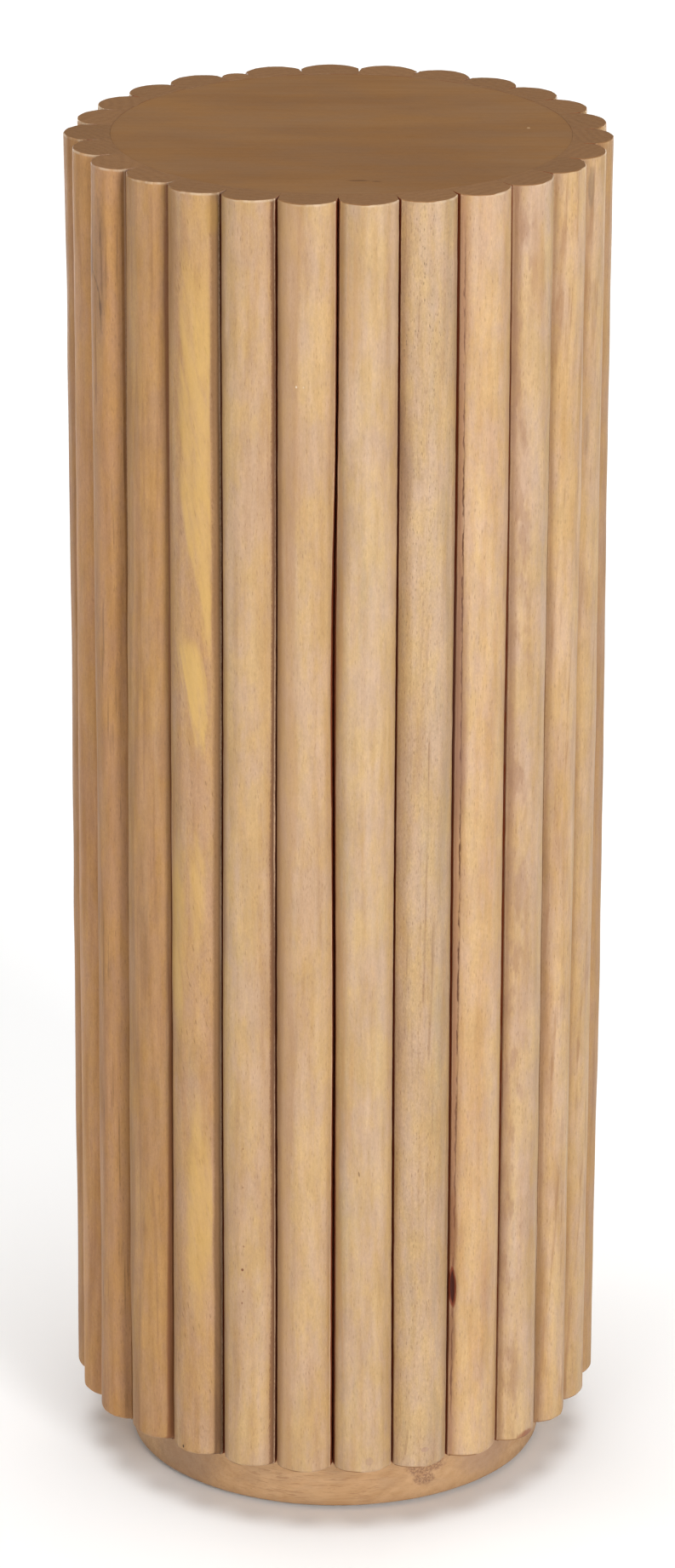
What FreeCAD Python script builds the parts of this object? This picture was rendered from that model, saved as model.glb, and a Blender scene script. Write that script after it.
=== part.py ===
import FreeCAD, Part
import math
import os
import Sketcher

# Column side table: a drum of half-round hardwood slats standing on a
# recessed round plinth. The slats run the full height, so their end grain
# forms the scalloped rim of the table top round an inset wooden disc.
# Inside, plywood discs and four posts make the drum that the slats are
# glued and pinned to. Nothing on it moves. Millimetres, +Z up, origin on
# the floor under the middle of the column, front of the table towards -Y.

V = FreeCAD.Vector
doc = FreeCAD.newDocument("ColumnSideTable")

# ---------------------------------------------------------------- dimensions
DIMS = [
    # ring of slats
    ("crest_radius", 145.0),        # axis to the crest of a full slat
    ("slat_back_radius", 123.3),    # axis to the hollowed back of a slat
    ("slat_pitch", 13.59),          # degrees taken by one full slat
    ("ring_start", -143.43),        # degrees, middle of the first full slat
    ("glue_gap", 0.05),             # half of the glue line between slats
    ("side_flare", 0.6),            # a slat is this much wider, per side, at the face
    ("face_ratio", 0.59),           # height of the round face over half its width
    ("slat_foot_z", 36.0),          # underside of the slats
    ("table_height", 760.0),        # top of the slats and of the top disc
    ("top_ease", 0.7),              # broken edge at the upper slat ends
    ("foot_round", 2.5),            # rounded edge at the lower slat ends
    ("closing_crest", 138.0),       # axis to the crest of the narrow slat
    ("closing_foot_round", 1.0),    # rounded edge at its lower end
    # discs of the drum
    ("drum_radius", 123.25),        # glue line inside the slat backs
    ("top_thick", 24.0),
    ("rib_thick", 18.0),
    ("mid_rib_thick", 15.0),
    ("mid_low_z", 262.0),
    ("mid_high_z", 492.0),
    # posts
    ("post_side", 24.0),
    ("post_circle", 88.0),
    # plinth and pads
    ("plinth_radius", 116.0),
    ("plinth_ease", 1.5),
    ("pad_thick", 2.0),
    ("pad_radius", 13.0),
    ("pad_circle", 96.0),
    # wood screws
    ("screw_radius", 2.0),
    ("screw_head_radius", 4.0),
    ("screw_head_depth", 2.5),
    ("short_screw", 32.0),
    ("long_screw", 50.0),
    ("top_screw_circle", 58.0),
    ("plinth_screw_circle", 62.0),
    ("counterbore_radius", 5.5),
    ("counterbore_depth", 16.0),
    # brads through the slats into the uppermost and lowest discs
    ("brad_radius", 0.7),
    ("brad_tip", 112.0),            # axis to the brad's tip
    ("brad_set", 3.0),              # how far the head is set below the crest
]
sheet = doc.addObject("Spreadsheet::Sheet", "Dims")
for row, (alias, value) in enumerate(DIMS, start=1):
    sheet.set("A%d" % row, alias)
    sheet.set("B%d" % row, str(value))
    sheet.setAlias("B%d" % row, alias)
doc.recompute()
D = dict(DIMS)

FULL_SLATS = 26
FULL_HALF = "Dims.slat_pitch / 2"
CLOSING_HALF = "(360 - 26 * Dims.slat_pitch) / 2"
CLOSING_ANGLE = "Dims.ring_start + 180 + 12.5 * Dims.slat_pitch"
half_full = D["slat_pitch"] / 2
half_closing = (360 - 26 * D["slat_pitch"]) / 2
closing_angle = D["ring_start"] + 180 + 12.5 * D["slat_pitch"]

subparts = []


def origin_feature(body, role):
    for feature in body.Origin.OriginFeatures:
        if feature.Role == role:
            return feature
    raise RuntimeError("no origin feature " + role)


def new_body(name, group=False):
    body = doc.addObject("PartDesign::Body", name)
    body.Label = name
    if group:
        body.AllowCompound = True
    subparts.append(body)
    return body


def new_sketch(body, name, role):
    sketch = body.newObject("Sketcher::SketchObject", name)
    sketch.AttachmentSupport = [(origin_feature(body, role), "")]
    sketch.MapMode = "FlatFace"
    return sketch


def dimension(sketch, label, kind, args, value, expression):
    index = sketch.addConstraint(Sketcher.Constraint(kind, *args, value))
    sketch.renameConstraint(index, label)
    sketch.setExpression("Constraints." + label, expression)


def circle(sketch, radius, expression, label="radius"):
    g = sketch.addGeometry(Part.Circle(V(0, 0, 0), V(0, 0, 1), radius), False)
    sketch.addConstraint(Sketcher.Constraint("Coincident", g, 3, -1, 1))
    dimension(sketch, label, "Radius", (g,), radius, expression)


def outline(sketch, points):
    """A closed polygon whose corners are each placed by two bound distances:
    points holds (x, y, x expression, y expression)."""
    count = len(points)
    first = None
    for i in range(count):
        a, b = points[i], points[(i + 1) % count]
        g = sketch.addGeometry(
            Part.LineSegment(V(a[0], a[1], 0), V(b[0], b[1], 0)), False
        )
        first = g if first is None else first
    for i in range(count):
        sketch.addConstraint(
            Sketcher.Constraint(
                "Coincident", first + i, 2, first + (i + 1) % count, 1
            )
        )
    for i, (x, y, ex, ey) in enumerate(points):
        for axis, value, text in (("X", x, ex), ("Y", y, ey)):
            label = "p%d_%s" % (i, axis.lower())
            if abs(value) < 1e-9:
                sketch.addConstraint(
                    Sketcher.Constraint(
                        "PointOnObject", first + i, 1, -2 if axis == "X" else -1
                    )
                )
            elif value > 0:
                dimension(sketch, label, "Distance" + axis,
                          (-1, 1, first + i, 1), value, text)
            else:
                dimension(sketch, label, "Distance" + axis,
                          (first + i, 1, -1, 1), -value, "-(%s)" % text)
    return first


def pad(body, sketch, name, expression):
    feature = body.newObject("PartDesign::Pad", name)
    feature.Profile = sketch
    feature.setExpression("Length", expression)
    return feature


def disc(name, radius, low, thick):
    """A plain turned or sawn disc standing from the height low."""
    body = new_body(name)
    sketch = new_sketch(body, name + "_outline", "XY_Plane")
    sketch.setExpression("AttachmentOffset.Base.z", low)
    circle(sketch, D[radius], "Dims." + radius)
    pad(body, sketch, name + "_pad", thick)
    doc.recompute()
    return body


def revolve(body, name, points, additive, count, axis_x):
    """Turns a half profile about the upright line at axis_x and repeats it
    round the column; additive makes screws, otherwise it bores for them."""
    sketch = new_sketch(body, name + "_profile", "XZ_Plane")
    sketch.setExpression("AttachmentOffset.Base.x", axis_x)
    outline(sketch, points)
    kind = "PartDesign::Revolution" if additive else "PartDesign::Groove"
    turned = body.newObject(kind, name + "_turned")
    turned.Profile = sketch
    turned.ReferenceAxis = (sketch, ["V_Axis"])
    turned.Angle = 360.0
    doc.recompute()
    ring = body.newObject("PartDesign::PolarPattern", name + "_ring")
    ring.Originals = [turned]
    ring.Axis = (origin_feature(body, "Z_Axis"), [""])
    ring.Angle = 360.0
    ring.Occurrences = count
    body.Tip = ring
    doc.recompute()
    return ring


def screw_profile(head_z, sign, length):
    """Half profile of a countersunk screw whose flat head lies at head_z and
    whose shank points along sign."""
    r, hr, hd = D["screw_radius"], D["screw_head_radius"], D["screw_head_depth"]
    z0, z0_text = head_z
    n, text = D[length], "Dims." + length
    s = "+" if sign > 0 else "-"

    def z(value, expression):
        return z0 + sign * value, "%s %s %s" % (z0_text, s, expression)

    head, tip = z(0, "0"), z(n, text)
    under, taper = z(hd, "Dims.screw_head_depth"), z(n - 4, "(%s - 4)" % text)
    return [
        (0.0, head[0], "0", head[1]),
        (hr, head[0], "Dims.screw_head_radius", head[1]),
        (r, under[0], "Dims.screw_radius", under[1]),
        (r, taper[0], "Dims.screw_radius", taper[1]),
        (0.0, tip[0], "0", tip[1]),
    ]


# Heights of the stacked boards
RIB_TOP = "(Dims.table_height - Dims.top_thick)"
rib_top = D["table_height"] - D["top_thick"]
RIB_FOOT = "(Dims.table_height - Dims.top_thick - Dims.rib_thick)"
rib_foot = rib_top - D["rib_thick"]
BOARD_TOP = "(Dims.slat_foot_z + Dims.rib_thick)"
board_top = D["slat_foot_z"] + D["rib_thick"]
SINK = "(Dims.pad_thick + Dims.counterbore_depth)"
sink = D["pad_thick"] + D["counterbore_depth"]

# Screw sets: profile, how many, radius of their circle
SCREWS = {
    # up through the upper rib into the top disc
    "top_panel_screws": (
        screw_profile((rib_foot, RIB_FOOT), 1, "short_screw"),
        6, "Dims.top_screw_circle"),
    # down through the upper rib into the posts
    "post_top_screws": (
        screw_profile((rib_top, RIB_TOP), -1, "long_screw"),
        4, "Dims.post_circle"),
    # up through the bottom board into the posts
    "post_bottom_screws": (
        screw_profile((D["slat_foot_z"], "Dims.slat_foot_z"), 1, "long_screw"),
        4, "Dims.post_circle"),
    # up through the plinth, from counterbores, into the bottom board
    "plinth_screws": (
        screw_profile((sink, SINK), 1, "short_screw"),
        4, "Dims.plinth_screw_circle"),
}


def drive(body, which, additive=False):
    points, count, ring = SCREWS[which]
    return revolve(body, body.Name + "_" + which, points, additive, count, ring)


def radial_bores(body, height, height_text):
    """Bores in the rim of a disc, one behind each slat, for the brads."""
    for tag, angle, text, count in (
        ("full", D["ring_start"], "Dims.ring_start", FULL_SLATS),
        ("closing", closing_angle, CLOSING_ANGLE, 1),
    ):
        name = "%s_brad_%s" % (body.Name, tag)
        sketch = new_sketch(body, name, "XZ_Plane")
        sketch.AttachmentOffset = FreeCAD.Placement(
            V(D["drum_radius"] * math.sin(math.radians(angle)), height,
              D["drum_radius"] * math.cos(math.radians(angle))),
            FreeCAD.Rotation(V(0, 1, 0), angle),
        )
        sketch.setExpression("AttachmentOffset.Base.x",
                             "Dims.drum_radius * sin(%s)" % text)
        sketch.setExpression("AttachmentOffset.Base.y", height_text)
        sketch.setExpression("AttachmentOffset.Base.z",
                             "Dims.drum_radius * cos(%s)" % text)
        circle(sketch, D["brad_radius"], "Dims.brad_radius")
        bore = body.newObject("PartDesign::Pocket", name + "_bore")
        bore.Profile = sketch
        bore.setExpression("Length", "Dims.drum_radius - Dims.brad_tip")
        body.Tip = bore
        doc.recompute()
        if count > 1:
            ring = body.newObject("PartDesign::PolarPattern", name + "_ring")
            ring.Originals = [bore]
            ring.Axis = (origin_feature(body, "Z_Axis"), [""])
            ring.setExpression("Angle", "25 * Dims.slat_pitch")
            ring.Occurrences = count
            body.Tip = ring
            doc.recompute()


def slat(name, half, half_text, crest, crest_text, foot_text, angle_text, angle):
    """One half-round slat with a back hollowed to the drum, drawn at the
    front of the column and turned to its place. Its sides are nearly
    parallel, so neighbours meet at the back and the joint opens outwards."""
    body = new_body(name)
    sketch = new_sketch(body, name + "_section", "XY_Plane")
    sketch.setExpression("AttachmentOffset.Base.z", "Dims.slat_foot_z")
    a = math.radians(half)
    back_r = D["slat_back_radius"]
    back_x = back_r * math.sin(a) - D["glue_gap"]
    # the round face is the arc over the crest from shoulder to shoulder
    sx = back_x + D["side_flare"]
    rise = D["face_ratio"] * sx
    front_r = (sx ** 2 + rise ** 2) / (2 * rise)
    cy = -(crest - front_r)
    sy = crest - rise
    back_y = -math.sqrt(back_r ** 2 - back_x ** 2)
    back = sketch.addGeometry(Part.ArcOfCircle(
        Part.Circle(V(0, 0, 0), V(0, 0, 1), back_r),
        math.atan2(back_y, -back_x) + 2 * math.pi,
        math.atan2(back_y, back_x) + 2 * math.pi), False)
    left = sketch.addGeometry(Part.LineSegment(
        V(-back_x, back_y, 0), V(-sx, -sy, 0)), False)
    front = sketch.addGeometry(Part.ArcOfCircle(
        Part.Circle(V(0, cy, 0), V(0, 0, 1), front_r),
        math.atan2(-sy - cy, -sx) + 2 * math.pi,
        math.atan2(-sy - cy, sx) + 2 * math.pi), False)
    right = sketch.addGeometry(Part.LineSegment(
        V(sx, -sy, 0), V(back_x, back_y, 0)), False)
    for p in ((back, 1, left, 1), (left, 2, front, 1),
              (front, 2, right, 1), (right, 2, back, 2), (back, 3, -1, 1)):
        sketch.addConstraint(Sketcher.Constraint("Coincident", *p))
    X_BACK = "Dims.slat_back_radius * sin(%s) - Dims.glue_gap" % half_text
    X_SIDE = "(%s + Dims.side_flare)" % X_BACK
    RISE = "(Dims.face_ratio * %s)" % X_SIDE
    ROUND = "(%s * %s + %s * %s) / (2 * %s)" % (X_SIDE, X_SIDE, RISE, RISE, RISE)
    Y_SIDE = "%s - %s" % (crest_text, RISE)
    dimension(sketch, "back_radius", "Radius", (back,), back_r,
              "Dims.slat_back_radius")
    dimension(sketch, "back_left", "DistanceX", (back, 1, -1, 1), back_x, X_BACK)
    dimension(sketch, "back_right", "DistanceX", (-1, 1, back, 2), back_x, X_BACK)
    dimension(sketch, "side_left", "DistanceX", (front, 1, -1, 1), sx, X_SIDE)
    dimension(sketch, "side_right", "DistanceX", (-1, 1, front, 2), sx, X_SIDE)
    dimension(sketch, "shoulder_left", "DistanceY", (front, 1, -1, 1), sy, Y_SIDE)
    dimension(sketch, "shoulder_right", "DistanceY", (front, 2, -1, 1), sy, Y_SIDE)
    dimension(sketch, "front_radius", "Radius", (front,), front_r, ROUND)
    pad(body, sketch, name + "_stick", "Dims.table_height - Dims.slat_foot_z")
    doc.recompute()

    # bores from the back for the two brads
    for tag, text in (("upper", "%s - Dims.rib_thick / 2" % RIB_TOP),
                      ("lower", "Dims.slat_foot_z + Dims.rib_thick / 2")):
        mark = new_sketch(body, "%s_brad_%s" % (name, tag), "XZ_Plane")
        mark.setExpression("AttachmentOffset.Base.y", text)
        mark.setExpression("AttachmentOffset.Base.z",
                           "Dims.slat_back_radius - 1")
        circle(mark, D["brad_radius"], "Dims.brad_radius")
        bore = body.newObject("PartDesign::Pocket", "%s_bore_%s" % (name, tag))
        bore.Profile = mark
        bore.Reversed = True
        bore.setExpression("Length", "%s - Dims.brad_set - Dims.slat_back_radius + 1"
                           % crest_text)
        body.Tip = bore
        doc.recompute()

    # eased upper end, rounded lower end, on the round face only
    for tag, kind, height, text in (
        ("top_edge", "PartDesign::Chamfer", D["table_height"], "Dims.top_ease"),
        ("foot_edge", "PartDesign::Fillet", D["slat_foot_z"], foot_text),
    ):
        base = body.Tip
        edges = []
        for i, edge in enumerate(base.Shape.Edges, start=1):
            box = edge.BoundBox
            if (box.ZLength < 1e-6 and abs(box.ZMin - height) < 1e-6
                    and box.YMin < -(crest - 0.5)):
                edges.append("Edge%d" % i)
        ease = body.newObject(kind, "%s_%s" % (name, tag))
        ease.Base = (base, edges)
        ease.setExpression("Size" if kind.endswith("Chamfer") else "Radius", text)
        body.Tip = ease
        doc.recompute()
    body.Placement = FreeCAD.Placement(
        V(0, 0, 0), FreeCAD.Rotation(V(0, 0, 1), angle))
    body.setExpression("Placement.Rotation.Angle", angle_text)
    doc.recompute()
    return body


# ------------------------------------------------------------- table top disc
top = disc("top_panel", "drum_radius", RIB_TOP, "Dims.top_thick")
drive(top, "top_panel_screws")

# --------------------------------------------------------------- drum of discs
upper = disc("upper_rib", "drum_radius", RIB_FOOT, "Dims.rib_thick")
drive(upper, "top_panel_screws")
drive(upper, "post_top_screws")
radial_bores(upper, rib_top - D["rib_thick"] / 2,
             "%s - Dims.rib_thick / 2" % RIB_TOP)

board = disc("bottom_board", "drum_radius", "Dims.slat_foot_z", "Dims.rib_thick")
drive(board, "post_bottom_screws")
drive(board, "plinth_screws")
radial_bores(board, D["slat_foot_z"] + D["rib_thick"] / 2,
             "Dims.slat_foot_z + Dims.rib_thick / 2")


def post_section(sketch):
    s = D["post_side"] / 2
    c = D["post_circle"]
    S, C = "Dims.post_side / 2", "Dims.post_circle"
    outline(sketch, [
        (c - s, -s, "%s - %s" % (C, S), "-(%s)" % S),
        (c + s, -s, "%s + %s" % (C, S), "-(%s)" % S),
        (c + s, s, "%s + %s" % (C, S), S),
        (c - s, s, "%s - %s" % (C, S), S),
    ])


# two inner ribs, threaded on the posts through square mortises
for name, low in (("mid_rib_upper", "Dims.mid_high_z"),
                  ("mid_rib_lower", "Dims.mid_low_z")):
    rib = disc(name, "drum_radius", low, "Dims.mid_rib_thick")
    sketch = new_sketch(rib, name + "_mortise", "XY_Plane")
    sketch.setExpression("AttachmentOffset.Base.z", low)
    post_section(sketch)
    cut = rib.newObject("PartDesign::Pocket", name + "_mortise_cut")
    cut.Profile = sketch
    cut.Reversed = True
    cut.setExpression("Length", "Dims.mid_rib_thick")
    rib.Tip = cut
    doc.recompute()
    ring = rib.newObject("PartDesign::PolarPattern", name + "_mortises")
    ring.Originals = [cut]
    ring.Axis = (origin_feature(rib, "Z_Axis"), [""])
    ring.Angle = 360.0
    ring.Occurrences = 4
    rib.Tip = ring
    doc.recompute()

# four posts between the bottom board and the upper rib
for i, side in enumerate(("right", "back", "left", "front")):
    name = "inner_post_" + side
    post = new_body(name)
    sketch = new_sketch(post, name + "_section", "XY_Plane")
    sketch.setExpression("AttachmentOffset.Base.z", BOARD_TOP)
    post_section(sketch)
    pad(post, sketch, name + "_stick", "%s - %s" % (RIB_FOOT, BOARD_TOP))
    doc.recompute()
    drive(post, "post_top_screws")
    drive(post, "post_bottom_screws")
    post.Placement = FreeCAD.Placement(
        V(0, 0, 0), FreeCAD.Rotation(V(0, 0, 1), 90.0 * i))

# ---------------------------------------------------------------------- plinth
plinth = disc("plinth", "plinth_radius", "Dims.pad_thick",
              "Dims.slat_foot_z - Dims.pad_thick")
base = plinth.Tip
edges = []
for i, edge in enumerate(base.Shape.Edges, start=1):
    box = edge.BoundBox
    if box.ZLength < 1e-6 and abs(box.ZMin - D["pad_thick"]) < 1e-6:
        edges.append("Edge%d" % i)
ease = plinth.newObject("PartDesign::Fillet", "plinth_foot_edge")
ease.Base = (base, edges)
ease.setExpression("Radius", "Dims.plinth_ease")
plinth.Tip = ease
doc.recompute()
drive(plinth, "plinth_screws")
revolve(plinth, "plinth_counterbore", [
    (0.0, D["pad_thick"], "0", "Dims.pad_thick"),
    (D["counterbore_radius"], D["pad_thick"], "Dims.counterbore_radius",
     "Dims.pad_thick"),
    (D["counterbore_radius"], sink, "Dims.counterbore_radius", SINK),
    (0.0, sink, "0", SINK),
], False, 4, "Dims.plinth_screw_circle")

# ------------------------------------------------------------------ felt pads
pads = new_body("felt_pads", group=True)
sketch = new_sketch(pads, "felt_pads_outline", "XY_Plane")
g = sketch.addGeometry(
    Part.Circle(V(D["pad_circle"], 0, 0), V(0, 0, 1), D["pad_radius"]), False)
sketch.addConstraint(Sketcher.Constraint("PointOnObject", g, 3, -1))
dimension(sketch, "circle", "DistanceX", (-1, 1, g, 3), D["pad_circle"],
          "Dims.pad_circle")
dimension(sketch, "radius", "Radius", (g,), D["pad_radius"], "Dims.pad_radius")
first = pad(pads, sketch, "felt_pad", "Dims.pad_thick")
doc.recompute()
ring = pads.newObject("PartDesign::PolarPattern", "felt_pad_ring")
ring.Originals = [first]
ring.Axis = (origin_feature(pads, "Z_Axis"), [""])
ring.Angle = 360.0
ring.Occurrences = 4
pads.Tip = ring
pads.Placement = FreeCAD.Placement(V(0, 0, 0), FreeCAD.Rotation(V(0, 0, 1), 45.0))
doc.recompute()

# ---------------------------------------------------------------------- slats
for k in range(FULL_SLATS):
    slat("slat_%02d" % (k + 1), half_full, FULL_HALF, D["crest_radius"],
         "Dims.crest_radius", "Dims.foot_round",
         "Dims.ring_start + %d * Dims.slat_pitch" % k,
         D["ring_start"] + k * D["slat_pitch"])
slat("closing_slat", half_closing, CLOSING_HALF, D["closing_crest"],
     "Dims.closing_crest", "Dims.closing_foot_round", CLOSING_ANGLE,
     closing_angle)

# --------------------------------------------------------------------- screws
for name in SCREWS:
    drive(new_body(name, group=True), name, additive=True)

# ---------------------------------------------------------------------- brads
brads = []
for row, height in (("upper", "%s - Dims.rib_thick / 2" % RIB_TOP),
                    ("lower", "Dims.slat_foot_z + Dims.rib_thick / 2")):
    for k in range(FULL_SLATS + 1):
        closing = k == FULL_SLATS
        text = CLOSING_ANGLE if closing else (
            "Dims.ring_start + %d * Dims.slat_pitch" % k)
        angle = closing_angle if closing else D["ring_start"] + k * D["slat_pitch"]
        crest_text = "Dims.closing_crest" if closing else "Dims.crest_radius"
        brad = doc.addObject("Part::Cylinder", "brad_%s_%02d" % (row, k + 1))
        brad.setExpression("Radius", "Dims.brad_radius")
        brad.setExpression("Height",
                           "%s - Dims.brad_set - Dims.brad_tip" % crest_text)
        # lying along the radius, tip inwards
        turn = FreeCAD.Rotation(V(0, 0, 1), angle) * FreeCAD.Rotation(
            V(0, 0, 1), V(0, -1, 0))
        brad.Placement = FreeCAD.Placement(V(0, 0, 0), turn)
        brad.setExpression("Placement.Base.x", "Dims.brad_tip * sin(%s)" % text)
        brad.setExpression("Placement.Base.y", "-Dims.brad_tip * cos(%s)" % text)
        brad.setExpression("Placement.Base.z", height)
        brads.append(brad)
brad_set = doc.addObject("Part::Compound", "slat_brads")
brad_set.Label = "slat_brads"
brad_set.Links = brads
subparts.append(brad_set)
doc.recompute()

# --------------------------------------------------------------------- checks
for obj in doc.Objects:
    if "Invalid" in obj.State or "Error" in obj.State:
        raise RuntimeError("failed: %s %s" % (obj.Label, obj.State))
total = 0.0
for obj in subparts:
    if obj.Shape.isNull() or not obj.Shape.isValid() or not obj.Shape.Solids:
        raise RuntimeError("bad shape: " + obj.Label)
    if not obj.Label.endswith(("_screws", "_brads", "_pads")):
        if len(obj.Shape.Solids) != 1:
            raise RuntimeError("not one solid: " + obj.Label)
    total += obj.Shape.Volume
    box = obj.Shape.BoundBox
    print("%-20s solids %3d  volume %12.1f  z %7.2f..%7.2f" % (
        obj.Label, len(obj.Shape.Solids), obj.Shape.Volume, box.ZMin, box.ZMax))
print("sub-parts", len(subparts), "total volume", round(total, 1))

os.makedirs("parts", exist_ok=True)
for obj in subparts:
    obj.Shape.exportStep("parts/%s.step" % obj.Label)
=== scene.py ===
import math

import bmesh
import bpy
import numpy as np
from mathutils import Matrix, Vector


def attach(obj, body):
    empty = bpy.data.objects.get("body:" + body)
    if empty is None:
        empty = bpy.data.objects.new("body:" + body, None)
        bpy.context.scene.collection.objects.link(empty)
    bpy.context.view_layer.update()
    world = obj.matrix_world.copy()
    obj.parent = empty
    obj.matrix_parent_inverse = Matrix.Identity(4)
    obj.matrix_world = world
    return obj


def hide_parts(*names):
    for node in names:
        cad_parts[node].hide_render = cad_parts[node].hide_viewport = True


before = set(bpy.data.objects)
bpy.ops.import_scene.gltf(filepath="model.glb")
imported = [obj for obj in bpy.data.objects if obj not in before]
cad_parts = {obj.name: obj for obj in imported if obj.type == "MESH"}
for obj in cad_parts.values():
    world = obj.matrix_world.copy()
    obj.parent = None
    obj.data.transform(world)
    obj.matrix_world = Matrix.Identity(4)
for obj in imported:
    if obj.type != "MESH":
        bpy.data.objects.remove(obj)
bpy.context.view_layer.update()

scene = bpy.context.scene
MM = 0.001

# ---------------------------------------------------------------- the column
CREST = 145.0        # radius over the round slat faces
BACK = 123.3         # radius of the hollowed slat backs
PITCH = 13.59        # angle of one full slat
START = -143.43      # middle of the first slat, measured from the front
SLATS = 26
FOOT_Z = 36.0
TOP_Z = 760.0
GAP = 0.05
RISE = 0.59          # height of a round face over half its width
EDGE = 0.5           # worn arris between the face and the side
TOUCH = 129.5        # radius where neighbouring sides touch


def wedge(theta):
    """Unit vectors of the place at that angle: tangent (to the right seen from outside) and outward."""
    return (np.array([math.cos(theta), math.sin(theta)]),
            np.array([math.sin(theta), -math.cos(theta)]))


def smooth(x, lo, hi):
    t = np.clip((np.asarray(x, float) - lo) / (hi - lo), 0.0, 1.0)
    return t * t * (3.0 - 2.0 * t)


class Wander:
    """A smooth, seeded wandering value along one or two coordinates."""

    def __init__(self, seed, amp, length, terms=5, turns=0.0):
        rng = np.random.default_rng(seed)
        self.k = 2 * math.pi / length * rng.uniform(0.35, 1.6, terms)
        self.p = rng.uniform(0, 2 * math.pi, terms)
        self.m = rng.uniform(-turns, turns, terms)
        a = rng.uniform(0.5, 1.0, terms)
        self.a = amp * a / np.sqrt((a * a).sum() / 2.0) / 1.6

    def __call__(self, z, ang=0.0):
        z = np.asarray(z, float)[..., None]
        ang = np.asarray(ang, float)[..., None]
        return (self.a * np.sin(self.k * z + self.m * ang + self.p)).sum(-1)


def knots(points):
    """A smooth curve through (height, value) pairs."""
    zs = np.array([p[0] for p in points], float)
    vs = np.array([p[1] for p in points], float)
    slope = np.gradient(vs, zs) if len(zs) > 2 else np.full(len(zs), (vs[-1] - vs[0]) / (zs[-1] - zs[0]))

    def curve(z):
        z = np.clip(np.asarray(z, float), zs[0], zs[-1])
        i = np.clip(np.searchsorted(zs, z, side="right") - 1, 0, len(zs) - 2)
        h = zs[i + 1] - zs[i]
        t = (z - zs[i]) / h
        return ((2 * t**3 - 3 * t**2 + 1) * vs[i] + (t**3 - 2 * t**2 + t) * h * slope[i]
                + (-2 * t**3 + 3 * t**2) * vs[i + 1] + (t**3 - t**2) * h * slope[i + 1])
    return curve


# Listed slats: the joint before slat n stands a little to one side of its
# even place (millimetres, + to the right), and the joint is open a little.
JOINT_SHIFT = {
    8: knots([(36, 1.9), (300, 2.2), (480, 2.0), (600, 1.5), (690, 0.9), (760, 1.0)]),
    9: knots([(36, 2.8), (160, 2.8), (300, 2.4), (440, 2.8), (560, 2.9), (660, 2.5), (760, 2.2)]),
    10: knots([(36, 1.2), (160, 1.35), (300, 1.0), (440, 0.85), (560, 1.0), (660, 0.8), (760, 0.5)]),
    11: knots([(36, 0.4), (215, 0.2), (300, 0.2), (400, -0.5), (485, -1.0), (550, -0.8), (610, -0.1), (760, 0.1)]),
    12: knots([(36, 1.3), (90, 1.1), (160, 0.75), (230, 0.45), (300, 0.2), (440, 0.15), (600, 0.25), (760, 0.0)]),
    13: knots([(36, 0.9), (160, 1.0), (300, 0.6), (440, 0.3), (560, 0.5), (660, 0.45), (760, 0.1)]),
    14: knots([(36, 1.9), (160, 2.0), (300, 1.9), (440, 1.6), (560, 1.8), (660, 1.5), (760, 0.7)]),
    15: knots([(36, 1.2), (300, 0.9), (500, 0.5), (760, 0.4)]),
}
JOINT_GAP = {
    8: knots([(36, 1.4), (200, 1.2), (400, 0.9), (760, 1.3)]),
    9: knots([(36, 2.3), (160, 2.1), (400, 1.8), (760, 2.1)]),
    10: knots([(36, 1.6), (300, 1.5), (480, 1.3), (760, 1.8)]),
    11: knots([(36, 2.5), (160, 2.8), (300, 2.2), (400, 2.5), (490, 3.1), (550, 2.8), (610, 2.0), (680, 2.0), (760, 2.4)]),
    12: knots([(36, 1.4), (200, 1.6), (400, 1.4), (760, 1.5)]),
    13: knots([(36, 1.7), (400, 1.7), (620, 1.9), (760, 1.9)]),
    14: knots([(36, 0.6), (160, 1.0), (230, 1.5), (400, 1.8), (490, 1.6), (560, 1.0), (660, 0.7), (760, 0.6)]),
}


def joint_angle(j):
    """Even angle of joint j, the one before slat j + 1 (j = 26 is before the narrow closing slat)."""
    return START + (j - 0.5) * PITCH


def joint_curves(j):
    wander = Wander(700 + j, 0.25, 520.0, 3)
    base = JOINT_SHIFT.get(j)
    if base is None:
        rng = np.random.default_rng(40 + j)
        a, b, c = rng.normal(0.0, 0.35, 3)
        base = knots([(36, a), (400, b), (760, c)])
        shift = lambda z: base(z) + wander(z)
    else:
        shift = lambda z: base(z) + 0.35 * wander(z)
    gap = JOINT_GAP.get(j)
    if gap is None:
        rng = np.random.default_rng(90 + j)
        g = rng.uniform(1.2, 1.9, 3)
        gap = knots([(36, g[0]), (400, g[1]), (760, g[2])])
    return shift, gap


JOINTS = [joint_curves(j) for j in range(SLATS + 1)]


def new_object(name, verts, faces, smooth_angle=None):
    mesh = bpy.data.meshes.new(name)
    mesh.from_pydata([tuple(v) for v in verts], [], faces)
    mesh.validate()
    mesh.update()
    obj = bpy.data.objects.new(name, mesh)
    scene.collection.objects.link(obj)
    if smooth_angle is not None:
        mesh.shade_smooth()
        mesh.set_sharp_from_angle(angle=math.radians(smooth_angle))
    return obj


N_ARC = 49
N_SIDE = 4
N_BACK = 6


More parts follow.
